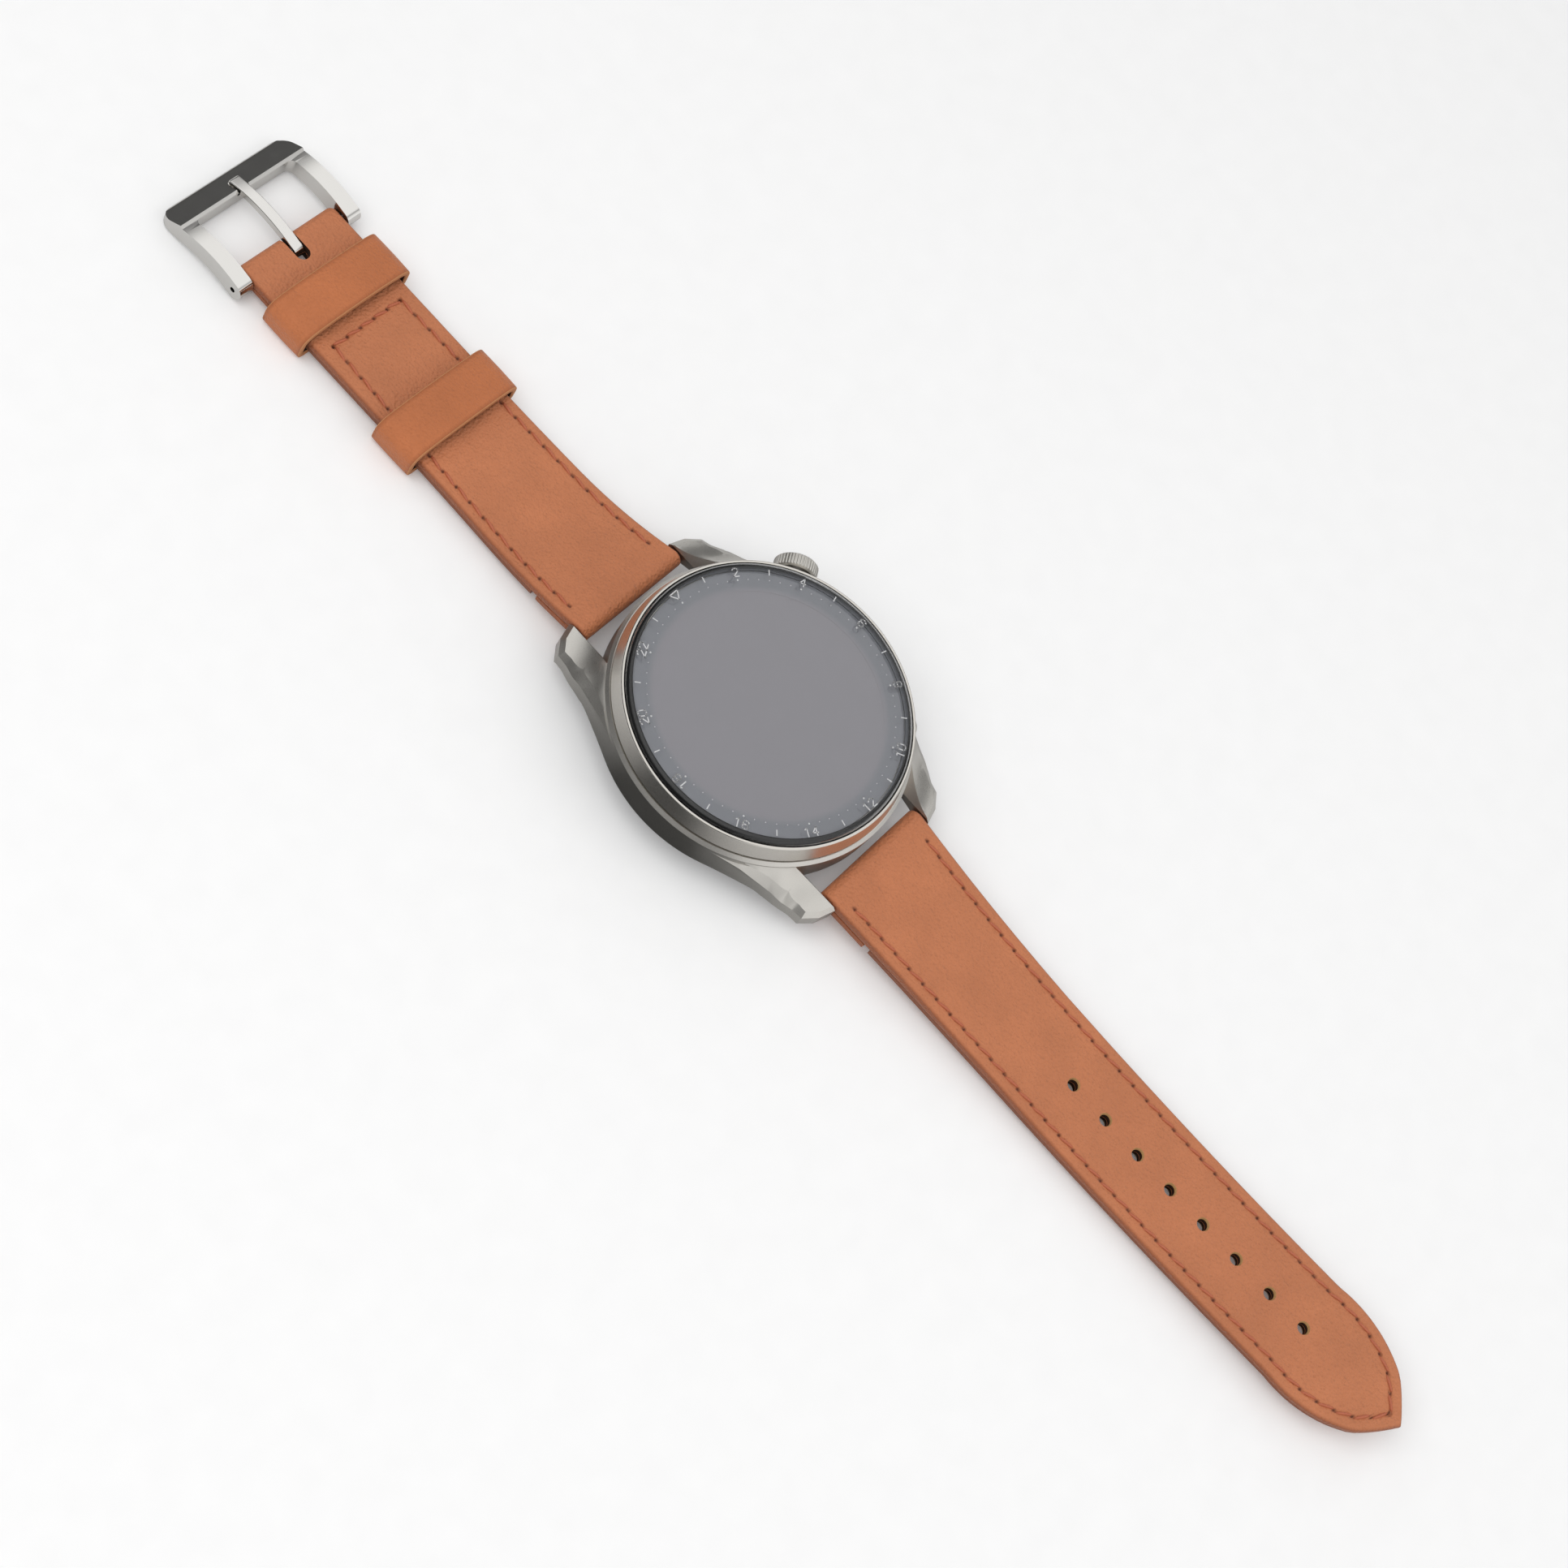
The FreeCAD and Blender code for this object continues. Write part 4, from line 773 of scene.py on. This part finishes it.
class Layer:
    """One leather layer as a ribbon: a path in (distance from the case, height), thickness and half width."""

    def __init__(self, path, trees, side, thick_at):
        self.side = side
        self.path = np.array(path)
        steps = np.linalg.norm(np.diff(self.path, axis=0), axis=1)
        self.run = np.concatenate(([0.0], np.cumsum(steps)))
        tangent = np.gradient(self.path, self.run, axis=0)
        tangent /= np.linalg.norm(tangent, axis=1)[:, None]
        self.normal = np.stack((tangent[:, 1], -tangent[:, 0]), axis=1)
        self.half = np.array([self.half_at(trees, index) for index in range(len(self.run))])
        self.thick = np.array([thick_at(*point) for point in self.path])
        self.rows = []
        self.sink = 0.0

    def half_at(self, trees, index):
        """Half width just under the surface, from a ray across the strap."""
        along, high = self.path[index] - self.normal[index] * 0.35 * MM
        hit = trees.ray_cast(Vector((50 * MM, self.side * along, high)), Vector((-1, 0, 0)))[0]
        return hit.x if hit is not None else 0.0

    def at(self, run, across, depth):
        """A point of the ribbon in the watch frame."""
        along = np.interp(run, self.run, self.path[:, 0])
        high = np.interp(run, self.run, self.path[:, 1])
        out = np.stack([np.interp(run, self.run, self.normal[:, axis]) for axis in range(2)], axis=-1)
        y = self.side * (along - out[..., 0] * depth)
        return np.stack((np.broadcast_to(across, y.shape), y, high - out[..., 1] * depth), axis=-1)

    def run_of(self, along, upper=True):
        """The run where the top (or bottom) of the ribbon reaches a distance from the case."""
        facing = self.normal[:, 1] > 0.5 if upper else self.normal[:, 1] < -0.5
        order = np.argsort(self.path[facing, 0])
        return float(np.interp(along, self.path[facing, 0][order], self.run[facing][order]))

    def edge_distance(self, run, across):
        """Distance in the flattened ribbon from points to the cut outline."""
        first = np.stack((self.run[:-1], self.half[:-1]), axis=1)
        last = np.stack((self.run[1:], self.half[1:]), axis=1)
        return distance_to(np.stack((run, np.abs(across)), axis=-1), first, last)


def distance_to(points, first, last):
    """Shortest distance from many plane points to a chain of segments."""
    span = last - first
    length = np.maximum((span ** 2).sum(axis=1), 1e-16)
    best = np.full(points.shape[:-1], np.inf)
    for start, step, square in zip(first, span, length):
        share = np.clip(((points - start) @ step) / square, 0, 1)
        gap = np.linalg.norm(points - start - share[..., None] * step, axis=-1)
        best = np.minimum(best, gap)
    return best


class Row:
    """A stitch row as a chain of points (run, across) in a flattened ribbon."""

    def __init__(self, chain):
        chain = np.array(chain)
        lengths = np.concatenate(([0.0], np.cumsum(np.linalg.norm(np.diff(chain, axis=0), axis=1))))
        count = max(1, round(lengths[-1] / STITCH_PITCH))
        marks = np.linspace(0, lengths[-1], count + 1)
        self.holes = np.stack([np.interp(marks, lengths, chain[:, axis]) for axis in range(2)], axis=1)
        self.first = chain[:-1]
        self.last = chain[1:]


def ribbon_mesh(name, layer, rounding, columns, stations):
    """Sweep a closed, edge-rounded cross-section through the stations of a leather layer."""
    groove_depth, groove_half = 0.13 * MM, 0.30 * MM
    pit_depth, pit_half = 0.28 * MM, 0.30 * MM
    half = np.interp(stations, layer.run, layer.half)
    slope = np.gradient(layer.half, layer.run)
    lean = np.sqrt(1 + np.clip(np.interp(stations, layer.run, slope), -3, 3) ** 2)
    thick = np.interp(stations, layer.run, layer.thick)
    quarter = [math.radians(angle) for angle in (0, 15, 30, 45, 60, 75)]
    insets = [rounding * (1 - math.cos(angle)) for angle in quarter] + [rounding] + columns
    cross = half[:, None] - np.array(insets)[None, :] * lean[:, None]
    inner = cross[:, -1:] * np.array((0.75, 0.5, 0.25, 0.0))[None, :]
    right = np.maximum(np.concatenate((cross, inner), axis=1), 0.0)
    across = np.concatenate((right, -right[:, -2::-1]), axis=1)
    run = np.broadcast_to(stations[:, None], across.shape)
    edge = layer.edge_distance(run, across)
    arc = np.sqrt(np.maximum(0, rounding ** 2 - (rounding - edge) ** 2))
    depth = np.where(edge < rounding, rounding - arc, 0.0)
    # punch: how much painted shade each point gets from the nearest stitch pit.
    punch = np.zeros_like(edge)
    spots = np.stack((run, across), axis=-1)
    for row in layer.rows:
        near = distance_to(spots, row.first, row.last)
        depth += (groove_depth + layer.sink) * np.exp(-(near / groove_half) ** 2)
        for hole in row.holes:
            gap = np.linalg.norm(spots - hole, axis=-1)
            pit = np.exp(-(gap / pit_half) ** 2)
            depth += pit_depth * pit
            punch = np.maximum(punch, pit)
    top = layer.at(run, across, depth)
    wall = [
        (np.maximum(half - back * MM, 0.0), rounding + (thick - rounding) * share)
        for share, back in ((0.55, 0.0), (0.9, 0.02), (1.0, 0.14))
    ]
    right_wall = [layer.at(stations, side, level) for side, level in reversed(wall)]
    left_wall = [layer.at(stations, -side, level) for side, level in wall]
    rings = np.concatenate((np.stack(right_wall, axis=1), top, np.stack(left_wall, axis=1)), axis=1)
    count, width = rings.shape[:2]
    mesh = mesh_from(name, rings.reshape(-1, 3), grid_faces(count, width) + end_caps(count, width))
    pad = np.zeros((count, len(wall)))
    # rim is 0.9 on the side walls, which paints shade there, and fades from the cut edge on the top face as
    # burnish.
    rim = np.concatenate((pad + 0.9, np.exp(-edge / (0.35 * MM)), pad + 0.9), axis=1)
    pit_shade = np.concatenate((pad, punch, pad), axis=1)
    add_values(mesh, "rim", rim)
    add_values(mesh, "punch", pit_shade)
    tidy_mesh(mesh, 2e-7)
    return mesh


def add_values(mesh, name, values):
    """Store one number for each point, for the material to read."""
    data = mesh.attributes.new(name, "FLOAT", "POINT")
    data.data.foreach_set("value", np.asarray(values, dtype=np.float32).ravel())


def thread_mesh(name, layer):
    """Every stitch of a layer's rows: a short slanted tube that dives into its two holes."""
    points = []
    faces = []
    sides = 8
    steps = 9
    radius = 0.25 * MM
    slant = 0.24 * MM
    end_depth, rise = 0.20 * MM, 0.17 * MM
    for row in layer.rows:
        for first, last in zip(row.holes, row.holes[1:]):
            along = last - first
            length = np.linalg.norm(along)
            along = along / length
            across = np.array((-along[1], along[0]))
            start = len(points)
            for step in range(steps):
                share = step / (steps - 1)
                spot = first + along * length * (0.08 + 0.84 * share) + across * slant * (1 - 2 * share)
                bulge = math.sin(math.pi * share)
                depth = end_depth + layer.sink - rise * bulge ** 0.6
                thin = radius * (0.55 + 0.45 * bulge ** 0.5)
                centre = layer.at(np.array(spot[0]), np.array(spot[1]), depth)
                out = layer.at(np.array(spot[0]), np.array(spot[1]), depth - MM) - centre
                out /= np.linalg.norm(out)
                ahead = layer.at(*np.array(spot + along * 0.1 * MM), depth) - centre
                flat = np.cross(out, ahead / np.linalg.norm(ahead))
                for side in range(sides):
                    angle = 2 * math.pi * side / sides
                    points.append(centre + thin * (math.cos(angle) * out + math.sin(angle) * flat))
            faces += grid_faces(steps, sides, start) + end_caps(steps, sides, start)
    mesh = mesh_from(name, points, faces)
    tidy_mesh(mesh)
    return mesh


class Strap:
    """Reads one strap piece from the frame, by distance from the case axis."""

    def __init__(self, prefix):
        self.prefix = prefix
        self.side = -1 if prefix == "long" else 1
        self.body = prefix + "_strap"
        self.pointed = prefix == "long"
        self.bar = middle(prefix + "_bar_tube")
        self.tree = tree_of(prefix + "_strap_top", prefix + "_strap_lining")
        self.lining = tree_of(prefix + "_strap_lining")
        self.tip = max(abs(corner.y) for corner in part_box(prefix + "_strap_top"))
        ends = sorted(abs(corner.y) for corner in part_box(prefix + "_strap_lining"))
        self.lining_start, self.lining_end = ends

    def height(self, along, heading, tree=None):
        """Where a vertical ray first meets the strap, off its centre line so that it misses the holes."""
        across = RAY_ACROSS
        if self.pointed:
            across = min(across, 0.4 * max(self.tip - along, 0.02 * MM))
        start = Vector((across, self.side * along, -50 * MM * heading))
        return (tree or self.tree).ray_cast(start, Vector((0, 0, heading)))[0].z

    def top(self, along):
        return self.height(along, -1)

    def bottom(self, along):
        return self.height(along, 1)

    def seam(self, along):
        """Height where top leather and lining meet, or would meet beyond the lining's ends."""
        if self.lining_start < along < self.lining_end:
            return self.height(along, -1, self.lining)
        return 0.55 * self.bottom(along) + 0.45 * self.top(along)

    def roll(self, centre, start_angle):
        """Points round a rolled end, from rays towards its bar over half a turn."""
        found = []
        for step in range(ROLL_STEPS):
            angle = math.radians(start_angle + 180 * (step + 0.5) / ROLL_STEPS)
            out = Vector((0, self.side * math.cos(angle), math.sin(angle)))
            start = Vector((RAY_ACROSS, centre.y, centre.z)) + out * 20 * MM
            hit = self.tree.ray_cast(start, -out)[0]
            found.append((self.side * hit.y, hit.z))
        return found

    def thickness(self, centres):
        """How thick the top leather is at a path point: thinner where it rolls round a bar."""
        near_bar = 3.0 * MM
        bar_reach, rolled_most = 0.82 * MM, 0.85 * MM
        buckle_side = 50 * MM

        def measure(along, high):
            for centre in centres:
                gap = math.hypot(along - abs(centre.y), high - centre.z)
                rolls_outwards = centre.y * self.side > buckle_side
                beyond = along > abs(centre.y) if rolls_outwards else along < abs(centre.y)
                if gap < near_bar and beyond:
                    return min(gap - bar_reach, rolled_most)
            here = min(along, self.tip - 0.3 * MM)
            upper, lower = self.top(here), self.bottom(here)
            return (0.52 if high > (upper + lower) / 2 else 0.42) * (upper - lower)

        return measure

    def tops(self, first, last):
        return [(along, self.top(along)) for along in spread(first, last)]

    def bottoms(self, first, last):
        return [(along, self.bottom(along)) for along in spread(first, last)]


def spread(first, last, step=PATH_STEP):
    """Evenly spaced values with about this step, both ends included."""
    return list(np.linspace(first, last, max(2, int(abs(last - first) / step) + 1)))


def offset_chain(layer, run_first, run_last, inset):
    """A chain of points that stays a fixed distance inside the layer's outline."""
    chain = []
    for run in spread(run_first, run_last, 0.5 * MM):
        across = np.linspace(0, float(np.interp(run, layer.run, layer.half)), 220)
        gaps = layer.edge_distance(np.full_like(across, run), across)
        inside = across[gaps >= inset]
        if len(inside):
            chain.append((run, float(inside[-1])))
    return chain


def both_sides(chain):
    return [Row(chain), Row([(run, -across) for run, across in chain])]


def stitch_box(cross_run, end_run, narrow, wide):
    """Two rows that widen from a cross row, and the cross row itself."""
    rows = both_sides([(cross_run, narrow), (end_run, wide)])
    return rows + [Row([(cross_run, -narrow), (cross_run, narrow)])]


def station_runs(layer):
    """Station places: fine along the stitches, finer still across a row that crosses the strap."""
    places = set(np.round(spread(layer.run[0], layer.run[-1], STITCH_PITCH / ROW_STEPS), 7))
    for row in layer.rows:
        start, end = row.first[0], row.last[-1]
        if abs(start[0] - end[0]) < 1e-6:
            for shift in (-0.36, -0.24, -0.12, 0.0, 0.12, 0.24, 0.36):
                places.add(round(float(start[0] + shift * MM), 7))
    return np.array(sorted(places))


def pointed_steps(last, first):
    """Distances up to a pointed end, closer together near the point."""
    return sorted(set(spread(last - 0.02 * MM, first) + [last - step * MM for step in TIP_STEPS]))


def long_strap():
    """The strap piece with holes: pointed, slightly upturned, stitched all round."""
    strap = Strap("long")
    bar = abs(strap.bar.y)
    flats = reversed(pointed_steps(strap.tip, bar + 0.15 * MM))
    path = [(along, strap.top(along)) for along in flats]
    path += strap.roll(strap.bar, 90) + strap.bottoms(bar + 0.1 * MM, TAIL)
    top = Layer(path, strap.tree, -1, strap.thickness([strap.bar]))
    top.half[0] = 0.0
    top.rows = both_sides(offset_chain(top, 0.0, top.run_of(LONG_STITCH_START), STITCH_INSET))
    build_layer(strap, "long_strap_top", top, "leather")

    def lining_thick(along, high):
        here = min(along, strap.lining_end - 0.3 * MM)
        return strap.seam(here) - strap.bottom(here) - 0.04 * MM

    stops = pointed_steps(strap.lining_end, strap.lining_start)
    lining = Layer([(along, strap.bottom(along)) for along in stops], strap.lining, -1, lining_thick)
    lining.half[-1] = 0.0
    first = lining.run_of(strap.lining_start + 1.0 * MM, False)
    lining.rows = both_sides(offset_chain(lining, first, lining.run[-1], STITCH_INSET - 0.15 * MM))
    lining.sink = LINING_SINK
    build_layer(strap, "long_strap_lining", lining, "leather_lining")


def short_strap():
    """The strap piece with the buckle: rolled at both ends, with a cross row of stitches."""
    strap = Strap("short")
    buckle_bar = middle("buckle_bar_tube")
    near, far = strap.bar.y, buckle_bar.y - 0.1 * MM
    path = strap.bottoms(strap.lining_end + 0.1 * MM, far) + strap.roll(buckle_bar, -90)
    path += strap.tops(far, near + 0.15 * MM) + strap.roll(strap.bar, 90)
    path += strap.bottoms(near + 0.1 * MM, TAIL)
    top = Layer(path, strap.tree, 1, strap.thickness([buckle_bar, strap.bar]))
    narrow, wide = 7.0 * MM, 8.7 * MM
    top.rows = stitch_box(top.run_of(CROSS_ROW), top.run_of(SHORT_STITCH_START), narrow, wide)
    build_layer(strap, "short_strap_top", top, "leather")

    def lining_thick(along, high):
        return strap.seam(min(along, strap.lining_end - 0.3 * MM)) - high - 0.02 * MM

    lining = Layer(strap.bottoms(strap.lining_start, strap.lining_end), strap.lining, 1, lining_thick)
    first = lining.run_of(strap.lining_start + 1.0 * MM, False)
    lining.rows = stitch_box(lining.run_of(CROSS_ROW, False), first, narrow, wide - 0.2 * MM)
    lining.sink = LINING_SINK
    build_layer(strap, "short_strap_lining", lining, "leather_lining")


def build_layer(strap, node, layer, slot):
    """Mesh one leather layer, cut its openings and lay its stitches."""
    columns = [0.95, 1.3, 1.55, 1.72, 1.86, 2.0, 2.14, 2.28, 2.45, 2.7]
    columns += [3.1, 4.0] if strap.pointed else list(np.arange(2.95, 8.6, 0.36))
    stations = station_runs(layer)
    upper = node.endswith("top")
    rounding = 0.55 * MM if upper else 0.4 * MM
    columns = [inset * MM for inset in columns]
    mesh = ribbon_mesh(node + "_leather", layer, rounding, columns, stations)
    item = add_object(node + "_leather", mesh, strap.body, [MATERIALS[slot], HOLE_EDGE, HOLE_SHADE])
    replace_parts(item, node)
    for cutter in openings(strap, upper):
        cut_with(item, cutter)
    item.data.set_sharp_from_angle(angle=math.radians(50))
    thread = thread_mesh(node + "_stitching", layer)
    add_object(node + "_stitching", thread, strap.body, [THREAD])


def openings(strap, upper):
    """Cutters for the buckle holes or the tongue slot, and for the release lever's notch."""
    cutters = []
    if strap.pointed:
        cutters += [hole_cutter(strap, HOLE_FIRST + HOLE_PITCH * index, upper) for index in range(HOLE_COUNT)]
    elif upper:
        cutters.append(slot_cutter(strap))
    if upper:
        cutters.append(notch_cutter(strap))
    return cutters


def cutter_object(name, points, faces, indices):
    """A closed cutter; index 1 leaves pale cut leather behind and 2 a wall painted dark as shade."""
    mesh = mesh_from(name, points, faces)
    item = linked(name, mesh, [MATERIALS["leather"], HOLE_EDGE, HOLE_SHADE])
    mesh.polygons.foreach_set("material_index", indices)
    tidy_mesh(mesh)
    return item


def hole_cutter(strap, along, upper):
    """A round punch with a small flare where it enters the visible face."""
    radius = HOLE_RADIUS
    flare = radius + 0.16 * MM
    high = strap.top(along)
    low = strap.bottom(along)
    over, under = high + MM, low - MM
    if upper:
        wall = [(radius, under), (radius, high - 0.45 * MM), (flare, high + 0.02 * MM), (flare, over)]
        pale = (2, 3, 4)
    else:
        wall = [(flare, under), (flare, low - 0.02 * MM), (radius, low + 0.4 * MM), (radius, over)]
        pale = (0, 1, 2)
    turns = 28
    profile = [(0, under)] + wall + [(0, over)]
    points, faces = lathe_points(profile, Vector((0, strap.side * along, 0)), turns)
    indices = [1 if index // turns in pale else 2 for index in range(len(faces))]
    return cutter_object("punch", points, faces, indices)


def prism_cutter(name, outline, low, high):
    count = len(outline)
    points = [(x, y, z) for z in (low, high) for x, y in outline]
    faces = [tuple(reversed(range(count))), tuple(range(count, 2 * count))] + grid_faces(2, count)
    return cutter_object(name, points, faces, [2] * len(faces))


def slot_cutter(strap):
    """The slot for the tongue: round at its inner end and open at the strap's end."""
    half = SLOT_HALF
    start = SLOT_INNER_END + half
    angles = [math.radians(degrees) for degrees in range(180, 361, 15)]
    outline = [(half * math.cos(angle), start + half * math.sin(angle)) for angle in angles]
    outline += [(half, strap.tip + MM), (-half, strap.tip + MM)]
    return prism_cutter("slot", outline, -MM, 8 * MM)


def notch_cutter(strap):
    """The opening under the rolled end for the quick-release lever."""
    pin = NODES[strap.prefix + "_release_pin"].data
    lowest = min(vertex.co.z for vertex in pin.vertices)
    foot = [vertex.co.x for vertex in pin.vertices if vertex.co.z < lowest + 0.1 * MM]
    lever = sum(foot) / len(foot)
    outward = math.copysign(1.0, lever)
    outer_gap, inner_gap, half_along = 0.9 * MM, 2.3 * MM, 0.95 * MM
    left, right = sorted((lever + outward * outer_gap, lever - outward * inner_gap))
    near, far = sorted((strap.bar.y - strap.side * half_along, strap.bar.y + strap.side * half_along))
    outline = [(left, near), (right, near), (right, far), (left, far)]
    return prism_cutter("notch", outline, -MM, strap.bar.z)


# ---------------- keepers


def bend(first, corner, last, steps):
    """Points of a smooth corner, without its last point."""
    found = []
    for step in range(steps):
        share = step / steps
        found.append((1 - share) ** 2 * first + 2 * share * (1 - share) * corner + share ** 2 * last)
    return found


def keeper_path(node):
    """Outer outline of a keeper in (across, height): flat foot, round corners, gently arched top."""
    low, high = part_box(node)
    half = high.x - KEEPER_CROWN
    foot = low.z + KEEPER_CROWN
    crest = high.z - KEEPER_CROWN
    low_round, high_round = 1.7 * MM, 3.0 * MM
    side_foot = Vector((half, foot + low_round))
    side_top = Vector((half, crest - high_round))
    shoulder = Vector((half - high_round, crest - 0.36 * MM))
    peak = Vector((0, crest))
    right = bend(Vector((half - low_round, foot)), Vector((half, foot)), side_foot, 8) + [side_foot]
    right += bend(side_top, Vector((half, crest - 0.6 * MM)), shoulder, 12)
    right += bend(shoulder, Vector((half * 0.42, crest)), peak, 12)
    left = [Vector((-point.x, point.y)) for point in reversed(right)]
    return right + [peak] + left + [Vector((0, foot))]


def keeper(node, body):
    """A leather loop with rounded, pale cut edges and an inside painted dark as shade."""
    low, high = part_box(node)
    path = keeper_path(node)
    count = len(path)
    wall = 1.0 * MM
    soft = 0.16 * MM
    wide = high.y - low.y
    section = [(soft, wall), (0.0, wall - soft), (0.0, soft), (0.3 * soft, 0.3 * soft), (soft, 0.0)]
    bands = [1, 1, 1, 1]
    for step in range(1, 8):
        share = step / 8
        section.append((soft + (wide - 2 * soft) * share, -KEEPER_CROWN * math.sin(math.pi * share)))
    section += [(wide - along, depth) for along, depth in reversed(section[:5])]
    bands += [0] * 8 + [1] * 4 + [2]
    points = []
    for index, point in enumerate(path):
        ahead = (path[(index + 1) % count] - path[index - 1]).normalized()
        out = Vector((ahead.y, -ahead.x))
        for along, depth in section:
            spot = point - out * depth
            points.append((spot.x, low.y + along, spot.y))
    faces = grid_faces(count, len(section), closed=True)
    mesh = mesh_from(node + "_leather", points, faces)
    mesh.polygons.foreach_set("material_index", bands * count)
    with edited(mesh) as work:
        bmesh.ops.recalc_face_normals(work, faces=work.faces)
    rim = [0.75 if along < 2 * soft or along > wide - 2 * soft else 0.0 for along, _ in section]
    add_values(mesh, "rim", rim * count)
    materials = [MATERIALS["keeper_leather"], CUT_EDGE, HOLE_SHADE]
    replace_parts(add_object(node + "_leather", mesh, body, materials), node)


# ---------------- studio


def make_camera():
    """The camera: aim, direction as azimuth and elevation, and roll."""
    aim = Vector((1.02, -9.53, -0.36)) * MM
    distance = 459.7 * MM
    azimuth, elevation, roll = (math.radians(degrees) for degrees in (-86.556, 58.82, 44.255))
    level = math.cos(elevation)
    back = Vector((math.sin(azimuth) * level, -math.cos(azimuth) * level, math.sin(elevation)))
    up = (Vector((0, 0, 1)) - back * back.z).normalized()
    right = up.cross(back)
    turned_right = right * math.cos(roll) + up * math.sin(roll)
    turned_up = up * math.cos(roll) - right * math.sin(roll)
    data = bpy.data.cameras.new("camera")
    data.lens = 70.9
    data.sensor_width = 36.0
    data.clip_start = 0.01
    data.clip_end = 20.0
    item = linked("camera", data)
    rotation = Matrix((turned_right, turned_up, back)).transposed()
    item.matrix_world = Matrix.Translation(aim + back * distance) @ rotation.to_4x4()
    bpy.context.scene.camera = item


def area_light(name, spot, power):
    """A square soft box aimed at the watch and unseen in reflections."""
    data = bpy.data.lights.new(name, "AREA")
    data.size = 0.8
    data.energy = power
    item = linked(name, data)
    item.location = spot
    item.rotation_euler = Vector(spot).to_track_quat("Z", "Y").to_euler()
    item.visible_glossy = False


def floor_material():
    """Pale floor; in reflections it is painted darker close to the watch, which gives the metal its dark
    reflections.
    """
    made = Nodes("pale_floor")
    path = made.add("ShaderNodeLightPath")
    grain = made.noise(5.0, 3.0)
    pale = made.mix(made.ramp(grain, 0.3, 0.7), (0.93, 0.93, 0.93, 1), (0.95, 0.95, 0.95, 1))
    beside = made.math("ABSOLUTE", made.place()["Y"])
    # Painted reflection: the floor as reflections see it, dark near the watch.
    reflection_shade = made.ramp(beside, 0.010, 0.034, 0.07, 0.75)
    base = made.mix(path.outputs["Is Glossy Ray"], pale, reflection_shade)
    glow = made.math("MULTIPLY", path.outputs["Is Camera Ray"], 0.10)
    return made.finish(
        Base_Color=base,
        Roughness=0.9,
        Specular_IOR_Level=0.1,
        Emission_Color=pale,
        Emission_Strength=glow,
    )


def make_stage():
    size = 3.0
    level = -0.02 * MM
    corners = [(size * across, size * along, level) for across, along in ((-1, -1), (1, -1), (1, 1), (-1, 1))]
    mesh = mesh_from("floor", corners, [(0, 1, 2, 3)], smooth=False)
    linked("floor", mesh, [floor_material()])
    world = bpy.data.worlds.new("studio")
    world.use_nodes = True
    bpy.context.scene.world = world
    studio_light(world.node_tree)
    area_light("key", (-0.35, 0.25, 0.75), 3.0)
    area_light("fill", (0.1, -0.75, 0.5), 1.6)
    bpy.context.scene.view_settings.view_transform = "Standard"


def studio_light(tree):
    """Even white light for matt surfaces; for reflections soft boxes overhead, at 6 and at 3 o'clock."""
    even, box, dim, backdrop = 0.55, 0.91, 0.09, 0.93
    sky = Graph(tree)
    split = sky.add("ShaderNodeSeparateXYZ")
    sky.join(sky.add("ShaderNodeTexCoord").outputs["Generated"], split.inputs[0])

    def edge(source, low, high):
        return sky.ramp(source, low, high, interpolation_type="SMOOTHSTEP")

    overhead = edge(split.outputs["Z"], 0.42, 0.75)
    low_box = edge(sky.math("MULTIPLY", split.outputs["Y"], -1.0), 0.55, 0.85)
    side_box = edge(split.outputs["X"], 0.80, 0.93)
    bright = sky.math("MAXIMUM", overhead, sky.math("MAXIMUM", low_box, side_box))
    glossy = sky.math("ADD", sky.math("MULTIPLY", bright, box), dim)
    path = sky.add("ShaderNodeLightPath")
    swing = sky.math("SUBTRACT", glossy, even)
    level = sky.math("ADD", even, sky.math("MULTIPLY", swing, path.outputs["Is Glossy Ray"]))
    level = sky.math("MAXIMUM", level, sky.math("MULTIPLY", path.outputs["Is Camera Ray"], backdrop))
    sky.fill(tree.nodes["Background"], Color=(1, 1, 1, 1), Strength=level)


def write_sizes():
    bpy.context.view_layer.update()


finish_cad_nodes()
make_metal_pieces()
make_springs()
make_scale_marks()
make_glass_border()
make_display_fade()
long_strap()
short_strap()
keeper("free_keeper", "sliding_keeper")
keeper("fixed_keeper", "short_strap")
make_stage()
make_camera()
write_sizes()
